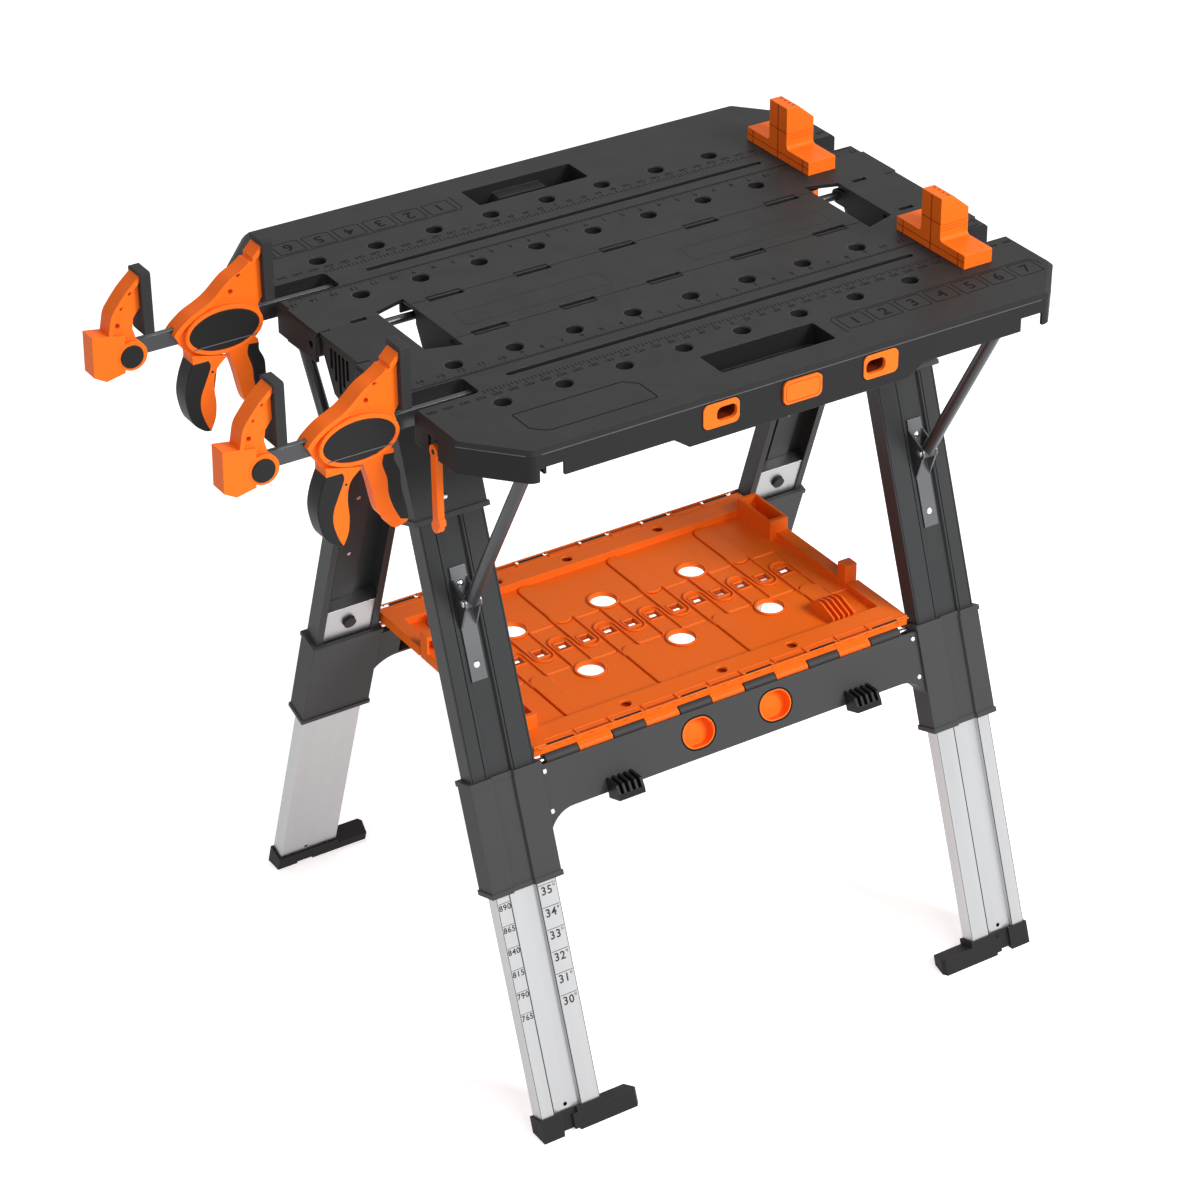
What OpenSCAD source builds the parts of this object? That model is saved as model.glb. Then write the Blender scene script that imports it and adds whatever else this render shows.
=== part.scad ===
// Folding workbench. Two top wings hang on a narrow centre beam, two leg frames
// swing on the same rods, the legs telescope, a tool shelf folds between the
// frames, and two bar clamps and two bench dogs sit on the top.
// X runs along the top, Y across it with the front at minus Y, Z up from the floor.
// Most pieces are drawn for the back side and turned about Z for the front.

/* [Top] */
// Length of the top
top_l = 787.4; // [760:0.1:840]
// Width of the top across both wings
top_w = 635; // [610:0.1:680]
// Height of the top above the floor
bench_h = 889; // [850:1:960]
// Thickness of the top skin
skin_t = 5; // [4:0.5:7]
// Thickness of the skirt
skirt_t = 4; // [3:0.5:5]
// Depth of the skirt below the top
skirt_h = 36.5; // [34:0.5:38]
// Depth of the skirt in its middle stretch
deep_skirt_h = 50.5; // [46:0.5:56]
// Length cut off each outer corner along X
corner_x = 56; // [40:1:70]
// Length cut off each outer corner along Y
corner_y = 64; // [50:1:80]
// Rounding of the outer corners
corner_r = 12; // [8:1:16]
// Width of the bevel round the top
bevel_w = 4.7; // [3:0.1:6]
// Depth of the bevel round the top
bevel_h = 4; // [2:0.5:5]

/* [Holes and slots] */
// Spacing of the dog holes along the top
hole_pitch = 76.2; // [70:0.1:80]
// Dog holes in each row
hole_n = 9; // [5:2:9]
// Distance of the inner row of dog holes from the middle
row_in = 101.6; // [98:0.1:106]
// Distance of the outer row of dog holes from the middle
row_out = 203.2; // [198:0.1:208]
// Diameter of the dog holes
hole_d = 20; // [18:0.5:22]
// Length of each clamp slot
slot_l = 80.7; // [70:0.1:84]
// Width of each clamp slot
slot_w = 39.5; // [36:0.5:42]
// Distance of the long groove's ends from the wing's ends
groove_end = 123.7; // [114:0.1:170]
// Width of the long groove
groove_w = 8; // [6:0.5:10]
// Depth of the long groove
groove_h = 6; // [4:0.5:8]
// Length of each handle recess
handle_l = 150; // [120:1:170]
// Width of each handle recess
handle_w = 46; // [40:1:48]
// Depth of each handle recess
handle_h = 26; // [20:1:28]
// Width of each board slot beside the centre deck
board_slot_w = 41; // [36:1:44]

/* [Centre beam] */
// Length of each end block
block_l = 76; // [70:1:81]
// Distance of the top seams from the middle
seam_y = 50; // [49:0.5:51]
// Distance of the hinge rods from the middle
hinge_y = 56; // [55:0.5:57]
// Depth of the hinge rods below the top
hinge_drop = 18; // [17:0.5:19]
// Diameter of the hinge rods
rod_d = 10; // [8:0.5:11]
// Depth of the beam below the top
beam_h = 66; // [60:1:68]

/* [Legs] */
// Tilt of the legs from upright
leg_tilt = 19.2; // [17:0.1:20]
// Width of the upper legs
leg_w = 83; // [80:1:86]
// Depth of the upper legs
leg_d = 24; // [23:0.5:25]
// Wall of the upper and lower legs
leg_wall = 1.8; // [1.5:0.1:2]
// Distance of the leg centres from the ends of the top
leg_in = 83.7; // [82:0.1:85]
// Distance of the leg recess and strut centres outside the leg centres
strut_out = 4; // [3:1:5]
// Length of each sleeve along the leg
sleeve_l = 137; // [130:1:150]
// Distance of the sleeve's upper end below the rod, along the leg
sleeve_drop = 475; // [470:1:480]
// Distance of the crossbar's bed, on which the shelf's rod lies, below the rod
crossbar_drop = 490; // [485:0.5:494]
// Height of the crossbar below its bed
bar_h = 49.5; // [47:0.5:52]
// Length of each leg cap
cap_l = 118; // [100:1:125]
// Diameter of the struts
strut_d = 15.5; // [13:0.5:16]

/* [Shelf] */
// Gap between the shelf's end and a sleeve
shelf_end_gap = 2.5; // [1.5:0.5:4]
// Thickness of the shelf floor
tray_t = 3.5; // [3:0.5:4]
// Height of the shelf rim above its floor
rim_h = 9; // [6:0.5:11]
// Reach of the fingers past the middle
finger_reach = 43; // [42.5:0.5:44]
// Diameter of the round holes in the shelf
tray_hole_d = 32; // [26:1:34]

/* [Clamps and dogs] */
// Thickness of the clamps across their plates
clamp_t = 24; // [22:0.5:26]
// Height of the clamp bars
clamp_bar_h = 19; // [16:0.5:20]
// Width of the clamp bars
clamp_bar_w = 7; // [6:0.5:8]
// Opening between the clamp pads
clamp_open = 135; // [128:1:142]
// Length of each bench dog
dog_l = 128; // [122:1:132]
// Width of each bench dog
dog_w = 39.2; // [36:0.2:42]
// Height of each bench dog's foot
dog_foot_h = 17; // [14:0.5:20]
// Full height of each bench dog
dog_h = 69.5; // [60:0.5:76]

/* [Hidden] */
$fn = 48;
over = 1;              // overrun of every cut
touch_gap = 0.3;       // gap between pieces that move past each other
run_gap = 0.05;        // gap of a pin in its bore, on the radius
slide_gap = 0.25;      // gap of a lower leg in its upper leg
fit_gap = 0.1;         // gap of a fixed piece in its seat

// Top edges and the hinge
half_l = top_l / 2;
half_w = top_w / 2;
groove_l = top_l - 2 * groove_end;
block_end = half_l - bevel_w;
block_x = block_end - block_l;
deck_l = 2 * (block_x - board_slot_w);
leg_x = half_l - leg_in;
strut_x = leg_x + strut_out;
row_mid = (row_in + row_out) / 2;
hinge_z = bench_h - hinge_drop;
skin_z = bench_h - skin_t;
rod_r = rod_d / 2;

// Leg frame: local z runs up the leg from the rod, local y outwards
leg_off = 21.07;       // leg face lies this far inside the rod
leg_reach = (hinge_z - leg_off * sin(leg_tilt)) / cos(leg_tilt);
sleeve_top = leg_reach - sleeve_drop;  // heights along the leg from the floor
sleeve_low = sleeve_top - sleeve_l;
bar_top = leg_reach - crossbar_drop;
recess_w = 27;
recess_h = 4;
recess_slope = 2;
leg_lip = 9;           // return lips at the open inner side of an upper leg
sleeve_t = 4;
sleeve_lip_t = 1.5;
lower_w = leg_w - 2 * (leg_wall + slide_gap);
lower_face = leg_wall + slide_gap;
lower_back = leg_d - leg_wall - slide_gap;
cap_top = 56;          // leg cap's shoulder below the rod
cap_end_t = 6;
arm_out = 25;          // middle of the cap's hinge arm beyond the strut
arm_x = strut_x + arm_out;
arm_w = 20;
arm_r = 12;
arm_gap = 1;           // side gap between an arm and the ears

// Centre beam
flank_y = 38;          // beam flank below the deck
flank_drop = 19;
keel_y = 15;
keel_tip_y = 5;
keel_h = 63;
beam_wall = 3.5;
block_tip_y = 42;
ear_r = 9;
ear_w = 24;
ear_in_w = 10;
ear_out_w = 14;
knuckle_r = 11.5;
knuckle_w = 44;
pocket_w = 46;
pocket_y = 43;
end_rib_n = 5;         // finger pockets in a block's end face
end_rib_pitch = 9;
end_rib_w = 6;
end_rib_d = 8;
end_rib_rise = 12;     // each pocket away from the middle starts this much higher
end_rib_low = 6;
end_rib_top = 8;
knuckle_end = 44;      // last knuckle's centre inside the deck's end
knuckle_pitch = (deck_l / 2 - knuckle_end) / 2;
slot_in_y = 4;         // board slot reaches this far into the wing at the block
slot_out_y = 17;       // and this far at the deck
lug_r = 16.2;
lug_w = 15;
lug_in = 12;           // lug reaches this far over the end of the block
lug_x = block_end - lug_in;
lug_top_y = 45.3;
lug_out_y = 111;
lug_low_y = 115;
lug_knee_y = 75;
lug_h = 40;
lug_knee_rise = 1;

// Wing details
boss_r = 14;
boss_h = 21;
hole_bevel = 1;
rib_t = 3;
rib_in = 16;
rib_y = hinge_y + rib_in;
rib_h = 20;
handle_y = 253;
pan_t = 3;
step_l = 64;
step_w = 18;
step_h = 14;
step_slope = 10;
notch_w = 30;
notch_top = 20.5;
deep_half = 144;
deep_slope = 20;
pocket_wall_h = 26;
socket_x = 104.6;
socket_w = 46;
socket_h = 29;
socket_drop = 7;
socket_d = 26;
socket_proud = 1.5;
socket_hole_w = 26;
socket_hole_h = 17;
socket_shift = 7;
button_w = 50;
button_h = 27.5;
button_d = 14;
button_proud = 3;
button_drop = 7.5;
round_r = 7;
strap_y = 209;
strap_w = 11;
strap_t = 8;
strap_drop = 31;
strap_l = 88;
strap_head_r = 8;
strap_pin_r = 3.2;
strap_room = 2.5;      // side clearance of the strap in its slot
strap_above = 18;      // free height above the strap's head
bump_r = 7;
catch_w = 32;
catch_l = 26;
catch_t = 3.2;
catch_pocket_w = 7;
catch_wall = 6;
catch_rise = 2.5;      // catch opens this far above the head's centre, for the leaning strut

// Strut: its foot pivots on the leg frame, its head rests in the wing's catch
strut_foot_drop = 270.1; // foot pivot below the rod, along the leg
strut_foot_out = 14;   // foot pivot in front of the leg face
strut_head_y = 266;
strut_head_drop = 49;
strut_eye_w = 15.8;
strut_pin_r = 3.2;
head_pin_r = 3;
head_pin_l = 24;
bracket_w = 20;
bracket_t = 2.2;
bracket_low = 94;      // bracket's lower end below the foot pivot
bracket_high = 39;     // bracket's upper end above the foot pivot
cheek_low = 34;
cheek_high = 28;
cheek_r = 8;
cheek_a = 24;
head_w = 1.5;          // width and extra radius of a strut pin's heads
rivet_high = 19.5;
rivet_low = 75.4;
rivet_r = 4.5;
dome_h = 2;
shank_r = 2.5;

// Crossbar
arch_r = 38;
arch_x = leg_x - leg_w / 2 - arch_r;
shell_t = 3.5;
apron_h = 8;           // face's rise above the bed
rib_n = 11;
rib_pitch = 50;
window_x = 54;
window_w = 46;
window_h = 38;
window_s = 405.5;
cup_t = 2.5;
cup_d = 15;
hook_in = 101.5;       // hook centre inside the leg's inner side
hook_x = leg_x - leg_w / 2 - hook_in;
hook_w = 35;
hook_out = 24;
hook_h = 17;
hook_n = 5;
hook_rib = 3.4;
hook_base = 7;
hook_nose = 3;
screw_in = 9.5;
screw_x = leg_x - leg_w / 2 - screw_in;
screw_drop_top = 0;
screw_drop_low = 48;
screw_r = 3.6;
shelf_rod_r = 4;
shelf_rod_rise = 7.5;
shelf_rod_in = 17;
shelf_ear_r = 7.5;

// Feet
foot_h = 29;
foot_t = 3;
foot_low = 15;         // lower leg's end above the floor, along the leg
toe_in = 84;           // toe's reach from the leg centre towards the middle
toe_h = 22;
toe_nose = 4;
toe_back = 5;
sole_gap = 3;
sole_gap_w = 22;
lock_r = 8;
lock_rise = 27;        // lock button above the sleeve
lock_d = 9;
lock_rim = 2;
plug_h = 12;
lower_top = sleeve_top + lock_rise + lock_r + 3 * lock_rim + plug_h;
foot_rivet_rise = 20;

// Shelf, drawn for the back half
shelf_half = leg_x - leg_w / 2 - sleeve_t - shelf_end_gap;
shelf_gap = 0.8;
shelf_ear_n = 6;
shelf_ear_in = 34.5;   // outermost ear's centre inside the shelf's end
shelf_ear_pitch = 2 * (shelf_half - shelf_ear_in) / (shelf_ear_n - 1);
shelf_ear_gap = 1.5;    // side gap between an ear and a knuckle
shelf_knuckle_w = 45;
shelf_ear_w = shelf_ear_pitch - shelf_knuckle_w - 2 * shelf_ear_gap;
tip_gap = 3.5;         // room the finger tips need as the shelf starts to fold
finger_n = 14;
comb_end = 38;         // strip beside the comb at each end
comb_half = shelf_half - comb_end;
finger_pitch = 2 * comb_half / finger_n;
notch_y = finger_reach + tip_gap;
end_reach = 76;
rim_in_y = 143;
rim_out = 1;
rim_wall = 17;
tray_hole_y = 62;
tray_hole_fingers = [1, 3, 5];  // fingers beside which the round holes stand
square_w = 14;
pocket_l = 27;
pocket_x = shelf_half - pocket_l;
pocket_y0 = 70;
pocket_y1 = 143;
pocket_top = 26;
post_l = 16;
post_top = 31;
shelf_knuckle_r = 7;
tray_rise = 1.7;       // floor above the knuckles
louvre_n = 5;
louvre_t = 2.5;
louvre_w = 32;
louvre_y0 = 88;
louvre_y1 = 138;
louvre_h = 18;
louvre_in = 63;
louvre_x = louvre_in - shelf_half;
rim_hole_d = 14;
rim_hole_y = 158;
rim_hole_shares = [-0.412, -0.031, 0.477];  // shares of half the shelf's length

// Clamps, drawn with x outwards from the wing's end and z up from the bar's middle
bar_drop = 16.5;
clamp_bar_out = 206;
seat_l = 23;
seat_t = 3;
pad_t = 12;
pad_w = 30;
pad_h = 74;
pad_gap = 1;
pad_r = 3;
pad_over = 0.5;        // the body's pad reaches this far over the wing's end
ring_r = 17.5;
ring_x = 173.5;
ring_z = -3.5;
cover_x = 62.5;
cover_z = -2;
cover_w = 96;
cover_h = 57;
cover_proud = 1;
rim_t = 4;
web_t = 14;
body_w = 112;
body_h = 120;
body_z = -33.5;        // lowest level of the body's rim
jaw_w = 62;
jaw_h = 118;
jaw_z = -26.5;         // lowest level of the end jaw
grip_x = 58;
grip_z = -121.5;
grip_w = 57;
grip_h = 97;
lever_x = 44;
lever_z = -22;
lever_in = 5;
lever_low = -122.5;
lever_w = 52;
lever_h = 100;
lever_t = 14;
lever_room_x = 14;
lever_room_w = 50;
lever_room_h = 42;
lever_room_top = -14;
trigger_x = 80;
trigger_z = -50;
trigger_w = 16;
trigger_h = 30;
trigger_t = 10;
trigger_back = 9;      // trigger's inner edge inside its pin
pin_r = 3;
hole_r = 3;

// Dogs
dog_riser = 36;
dog_fillet = 5;
dog_peg_l = 20;
dog_peg_gap = 0.3;
dog_nose_w = 17;
dog_nose_h = 17;
dog_bevel = 2;

// The bench with its clamps spans more to the left, so the whole is moved along X
// until its outline is centred on the origin.
clamp_reach = pad_t - pad_over + clamp_open + pad_t + jaw_w;
shift_x = clamp_reach / 2;

// Placing helpers

// Moves the table-centred model onto its origin
module whole() { translate([shift_x, 0, 0]) children(); }

// Turns a back-side piece to the named side
module on(side) { whole() rotate([0, 0, side == "front" ? 180 : 0]) children(); }

// A piece and its mirror image across the middle of the bench
module pair() {
    children();
    mirror([1, 0, 0]) children();
}

// The end of a back-side piece that is on the named hand once it is in place
module hand(side, end) {
    at_plus = (side == "back") == (end == "right");
    mirror([at_plus ? 0 : 1, 0, 0]) children();
}

// The rod of the back side, in the bench's own directions
module at_rod() { translate([0, hinge_y, hinge_z]) children(); }

// The back leg frame: z up the leg, y outwards from the leg's outer face
module along_leg() { at_rod() rotate([leg_tilt, 0, 0]) translate([0, -leg_off, 0]) children(); }

// Level along the leg, given as a height above the floor
function up(s) = s - leg_reach;

// A cylinder along X, centred on x
module x_rod(r, w, x = 0) { translate([x - w / 2, 0, 0]) rotate([0, 90, 0]) cylinder(r = r, h = w); }

// A plate drawn in (y, z) and spread along X about x
module x_plate(points, w, x = 0) {
    translate([x - w / 2, 0, 0]) rotate([90, 0, 90]) linear_extrude(w) polygon(points);
}

// A box from its least corner to its greatest
module span_box(a, b) { translate(a) cube(b - a); }

// A flat outline with rounded corners
module round_rect(w, h, r) {
    square([w - 2 * r, h], center = true);
    square([w, h - 2 * r], center = true);
    for (x = [-1, 1], y = [-1, 1]) translate([x * (w / 2 - r), y * (h / 2 - r)]) circle(r);
}

// Points of a smooth curve through the given points, n steps to a span
function curve(p, n = 5) = [for (i = [0 : len(p) - 2], k = [0 : n - 1])
    let (t = k / n, a = p[max(i - 1, 0)], b = p[i], c = p[i + 1], d = p[min(i + 2, len(p) - 1)])
    b + (c - a) * t / 2 + (2 * a - 5 * b + 4 * c - d) * t * t / 2
      + (3 * b - a - 3 * c + d) * t * t * t / 2];

// Shares of a width and a height turned into points from a corner
function sized(shares, w, h, x = 0, y = 0) = [for (p = shares) [x + p[0] * w, y + p[1] * h]];

// Centre beam

// Half outline of the beam under its deck, drawn in by a wall w from a level top
function keel(w, top) = [[flank_y - w, -top], [flank_y - w, -flank_drop],
    [keel_y - w / 2, w / 2 - keel_h], [keel_tip_y - w / 2, w / 2 - beam_h]];

function both_sides(p) = concat(p, [for (i = [len(p) - 1 : -1 : 0]) [-p[i][0], p[i][1]]]);

// Beam shell of a length, with cross walls at the given places
module beam(l, x, half_top, walls) {
    difference() {
        union() {
            translate([0, 0, bench_h]) x_plate(both_sides(keel(0, skin_t / 2)), l, x);
            span_box([x - l / 2, -half_top, skin_z], [x + l / 2, half_top, bench_h]);
        }
        difference() {
            translate([0, 0, bench_h])
                x_plate(both_sides(keel(beam_wall, skin_t)), l - 2 * beam_wall, x);
            for (w = walls) span_box([w - rib_t, -half_top, bench_h - beam_h],
                [w + rib_t, half_top, skin_z]);
        }
        // open keel
        span_box([x - l / 2 + beam_wall, -keel_tip_y + beam_wall / 2, bench_h - beam_h - over],
            [x + l / 2 - beam_wall, keel_tip_y - beam_wall / 2, bench_h - beam_h + beam_wall]);
    }
}

// Ears that carry both rods, w wide about x
module rod_ears(x, w) {
    for (s = [0, 1]) mirror([0, s, 0]) at_rod() {
        x_rod(ear_r, w, x);
        x_plate([[0, ear_r], [0, -ear_r], [flank_y - hinge_y - beam_wall / 2, -ear_r],
            [flank_y - hinge_y - beam_wall / 2, ear_r]], w, x);
    }
}

module rod_bores(r) {
    for (s = [-1, 1]) translate([0, s * hinge_y, hinge_z]) x_rod(r, top_l + 2 * over);
}

ear_places = [for (i = [-1.5 : 1 : 1.5]) i * knuckle_pitch];
knuckle_places = [for (i = [-2 : 2]) i * knuckle_pitch];

module centre_deck() color("#3c3c3c") whole() difference() {
    union() {
        beam(deck_l, 0, seam_y - touch_gap, ear_places);
        for (x = ear_places) rod_ears(x, ear_w);
    }
    rod_bores(rod_r + run_gap);
    for (x = knuckle_places, s = [-1, 1])
        translate([x - pocket_w / 2, s > 0 ? pocket_y : -seam_y - over, skin_z - over])
            cube([pocket_w, seam_y - pocket_y + over, skin_t + 2 * over]);
}

block_mid = (block_x + block_end) / 2;
ear_in_x = block_x + ear_in_w / 2;
ear_out_x = arm_x + arm_w / 2 + arm_gap + ear_out_w / 2;

module end_block() difference() {
    union() {
        beam(block_l, block_mid, seam_y - touch_gap, [block_mid]);
        rod_ears(ear_in_x, ear_in_w);
        rod_ears(ear_out_x, ear_out_w);
    }
    rod_bores(rod_r + run_gap);
    for (s = [-1, 1]) {
        // clear of the wing's end lugs
        translate([lug_x - over, s > 0 ? block_tip_y : -seam_y - over, skin_z - over])
            cube([block_end - lug_x + 2 * over, seam_y - block_tip_y + over, skin_t + 2 * over]);
        // pocket over the leg cap's arm
        translate([arm_x - arm_w / 2, s > 0 ? pocket_y : -seam_y - over, skin_z - over])
            cube([arm_w, seam_y - pocket_y + over, skin_t + 2 * over]);
    }
    // finger pockets in the end face, with ribs between them
    for (i = [0 : end_rib_n - 1]) {
        k = i - (end_rib_n - 1) / 2;
        span_box([block_end - end_rib_d, k * end_rib_pitch - end_rib_w / 2,
            bench_h - keel_h + end_rib_low + abs(k) * end_rib_rise],
            [block_end + over, k * end_rib_pitch + end_rib_w / 2, bench_h - end_rib_top]);
    }
}

module end_blocks() color("#3c3c3c") whole() pair() end_block();

module hinge_rods() color("#55575a") whole()
    for (s = [-1, 1]) translate([0, s * hinge_y, hinge_z]) x_rod(rod_r, 2 * block_end);

// Wings

// Centres of the corner rounding for a rounding r
corner_len = sqrt(corner_x * corner_x + corner_y * corner_y);
function corner_centres(r) = let (
    ta = r * (1 - corner_y / corner_len) / corner_x,
    tb = (corner_y - r + r * corner_x / corner_len) / corner_y)
    [[half_l - r, half_w - corner_y - r * corner_x / corner_len + ta * corner_y],
     [half_l - r * corner_y / corner_len - tb * corner_x, half_w - r]];

// Solid wing outline with its bevel
module wing_block() hull() {
    for (c = corner_centres(corner_r), s = [-1, 1]) translate([s * c[0], c[1], bench_h - skirt_h]) {
        cylinder(r = corner_r, h = skirt_h - bevel_h, $fn = 32);
        cylinder(r = corner_r - bevel_w, h = skirt_h, $fn = 32);
    }
    span_box([-half_l, lug_top_y, bench_h - skirt_h], [half_l, seam_y, bench_h - bevel_h]);
    span_box([-half_l + bevel_w, lug_top_y, bench_h - skirt_h], [half_l - bevel_w, seam_y, bench_h]);
}

// Hollow under the wing, open towards the seam
module wing_hollow() hull() {
    for (c = corner_centres(corner_r), s = [-1, 1])
        translate([s * c[0], c[1], bench_h - skirt_h - over])
            cylinder(r = corner_r - skirt_t, h = skirt_h - skin_t + over, $fn = 32);
    span_box([-half_l + skirt_t, lug_top_y - over, bench_h - skirt_h - over],
        [half_l - skirt_t, seam_y, skin_z]);
}

module dog_hole_places() {
    for (i = [-(hole_n - 1) / 2 : (hole_n - 1) / 2], y = [row_in, row_out])
        translate([i * hole_pitch, y, bench_h]) children();
}

// Middle stretch of the skirt that hangs deeper
module deep_skirt() translate([0, half_w, bench_h]) rotate([90, 0, 0]) linear_extrude(skirt_t)
    polygon([[-deep_half, -deep_skirt_h], [deep_half, -deep_skirt_h],
        [deep_half + deep_slope, -skirt_h], [deep_half + deep_slope, -skirt_h + over],
        [-deep_half - deep_slope, -skirt_h + over], [-deep_half - deep_slope, -skirt_h]]);

// Bearing round the rod, w wide about x
module wing_knuckle(x) at_rod() {
    x_rod(knuckle_r, knuckle_w, x);
    x_plate([[seam_y + touch_gap - hinge_y, 0], [rib_y - hinge_y + rib_t, 0],
        [rib_y - hinge_y + rib_t, hinge_drop - skin_t / 2],
        [seam_y + touch_gap - hinge_y, hinge_drop - skin_t / 2]], knuckle_w, x);
}

// End lug that closes the hinge line at the wing's end
module wing_lug() at_rod() {
    x = lug_x + lug_w / 2;
    x_rod(lug_r, lug_w, x);
    x_plate([[lug_top_y - hinge_y, hinge_drop], [lug_out_y - hinge_y, hinge_drop],
        [lug_low_y - hinge_y, hinge_drop - lug_h], [lug_knee_y - hinge_y, hinge_drop - lug_h + lug_knee_rise],
        [0, -lug_r], [0, 0], [lug_top_y - hinge_y, 0]], lug_w, x);
}

// Pan of the handle recess with its raised step
module handle_pan() translate([0, handle_y, bench_h]) {
    difference() {
        translate([0, 0, -handle_h - pan_t]) linear_extrude(handle_h + pan_t - skin_t / 2)
            round_rect(handle_l + 2 * pan_t, handle_w + 2 * pan_t, round_r);
        translate([0, 0, -handle_h]) linear_extrude(handle_h + over)
            round_rect(handle_l, handle_w, round_r - pan_t);
    }
    translate([0, handle_w / 2, -handle_h]) rotate([90, 0, 0]) linear_extrude(step_w)
        polygon([[-step_l / 2 - step_slope, 0], [step_l / 2 + step_slope, 0],
            [step_l / 2, step_h], [-step_l / 2, step_h]]);
}

// Walls and bar seat of a clamp slot at the plus X end
module slot_walls() {
    span_box([half_l - slot_l - seat_l - seat_t, row_mid - slot_w / 2 - seat_t, bench_h - pocket_wall_h],
        [half_l - skirt_t, row_mid + slot_w / 2 + seat_t, skin_z + over]);
}

module slot_cut() {
    r = round_r;
    translate([half_l - slot_l / 2 + over, row_mid, bench_h - skirt_h - over])
        linear_extrude(skirt_h + 2 * over) union() {
            translate([-over, 0]) round_rect(slot_l, slot_w, r);
            translate([0, -slot_w / 2]) square([slot_l / 2 + over, slot_w]);
        }
    // seat for the bar's inner end
    translate([half_l - slot_l - seat_l, row_mid - clamp_bar_w / 2 - fit_gap,
        bench_h - bar_drop - clamp_bar_h / 2 - fit_gap])
        cube([seat_l + over, clamp_bar_w + 2 * fit_gap, clamp_bar_h + 2 * fit_gap]);
}

// Saddle over the strut's head, open outwards and below
module strut_catch() translate([strut_x, strut_head_y, bench_h - strut_head_drop]) difference() {
    r = strut_d / 2 + touch_gap;
    z = strut_head_drop - skin_t / 2;
    span_box([-catch_w / 2, -catch_l / 2, -r / 2], [catch_w / 2, catch_l / 2, z]);
    span_box([-catch_w / 2 + catch_t, -catch_l, -r], [catch_w / 2 - catch_t, catch_l, catch_rise]);
    x_rod(r, catch_w - 2 * catch_t);
    // lightening pockets either side of the seat
    for (s = [-1, 1]) translate([s * (catch_w / 2 - catch_t - catch_pocket_w / 2), 0, (z + r) / 2])
        cube([catch_pocket_w, catch_l + 2 * over, z - r - 2 * catch_wall], center = true);
}

// Opening in the skirt, w by h about x and z
module skirt_cut(x, z, w, h, grow) {
    translate([x, half_w + over, z]) rotate([90, 0, 0])
        linear_extrude(skirt_t + 2 * over) round_rect(w + 2 * grow, h + 2 * grow, round_r);
}

socket_z = bench_h - socket_drop - socket_h / 2;
button_z = bench_h - button_drop - button_h / 2;
strap_z = bench_h - strap_drop;
strap_mid = half_l - strap_t / 2;
strap_slot = strap_head_r + strap_room;

module wing() difference() {
    union() {
        difference() {
            wing_block();
            wing_hollow();
        }
        deep_skirt();
        for (x = knuckle_places) wing_knuckle(x);
        pair() wing_lug();
        span_box([-deck_l / 2, rib_y, bench_h - rib_h], [deck_l / 2, rib_y + rib_t, skin_z + over]);
        for (y = [row_mid - groove_w / 2 - rib_t, row_mid + groove_w / 2])
            span_box([-groove_l / 2, y, bench_h - boss_h], [groove_l / 2, y + rib_t, skin_z + over]);
        span_box([-groove_l / 2 - rib_t, row_mid - groove_w / 2 - rib_t, bench_h - groove_h - rib_t],
            [groove_l / 2 + rib_t, row_mid + groove_w / 2 + rib_t, skin_z + over]);
        dog_hole_places() translate([0, 0, -boss_h]) cylinder(r = boss_r, h = boss_h - skin_t / 2);
        handle_pan();
        pair() slot_walls();
        pair() strut_catch();
        // wall behind the strap's slot
        span_box([half_l - strap_t - touch_gap - rib_t, strap_y - strap_slot, bench_h - skirt_h],
            [half_l - strap_t - touch_gap, strap_y + strap_slot, skin_z + over]);
    }
    dog_hole_places() {
        translate([0, 0, -boss_h - over]) cylinder(d = hole_d, h = boss_h + 2 * over);
        translate([0, 0, -hole_bevel]) cylinder(d = hole_d + 2 * hole_bevel, h = hole_bevel + over);
    }
    translate([0, row_mid, bench_h - groove_h]) linear_extrude(groove_h + over)
        round_rect(groove_l, groove_w, groove_w / 2 - touch_gap);
    translate([0, handle_y, bench_h - handle_h + step_h + over]) linear_extrude(handle_h)
        round_rect(handle_l, handle_w, round_r - pan_t);
    pair() slot_cut();
    // notches that let the struts pass when the wing folds
    for (s = [-1, 1]) translate([s * strut_x, half_w, bench_h - skirt_h])
        cube([notch_w, 2 * (skirt_t + over), 2 * (skirt_h - notch_top)], center = true);
    // seam edge between the knuckles, and the board slots
    for (i = [0 : len(knuckle_places)]) {
        x0 = i == 0 ? -lug_x + touch_gap : knuckle_places[i - 1] + knuckle_w / 2;
        x1 = i == len(knuckle_places) ? lug_x - touch_gap : knuckle_places[i] - knuckle_w / 2;
        span_box([x0, 0, bench_h - skirt_h - over], [x1, seam_y + touch_gap, bench_h + over]);
    }
    span_box([-lug_x + touch_gap, 0, hinge_z + knuckle_r / 2],
        [lug_x - touch_gap, seam_y + touch_gap, bench_h + over]);
    pair() translate([0, 0, bench_h - rib_h - over]) linear_extrude(rib_h + 2 * over)
        polygon([[deck_l / 2, 0], [block_x, 0], [block_x, seam_y + slot_in_y],
            [deck_l / 2, seam_y + slot_out_y]]);
    rod_bores(rod_r + run_gap);
    // openings for the sockets, the button and the strap's pivot
    for (s = [-1, 1]) skirt_cut(s * socket_x, socket_z, socket_w, socket_h, fit_gap);
    skirt_cut(0, button_z, button_w, button_h, touch_gap);
    difference() {
        span_box([half_l - strap_t - touch_gap, strap_y - strap_slot, bench_h - skirt_h - over],
            [half_l + over, strap_y + strap_slot, strap_z + strap_above]);
        translate([0, strap_y, strap_z]) x_rod(strap_pin_r, strap_t + 2 * touch_gap, strap_mid - touch_gap);
    }
}

module wing_front() color("#424242") on("front") wing();
module wing_back() color("#424242") on("back") wing();

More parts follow.
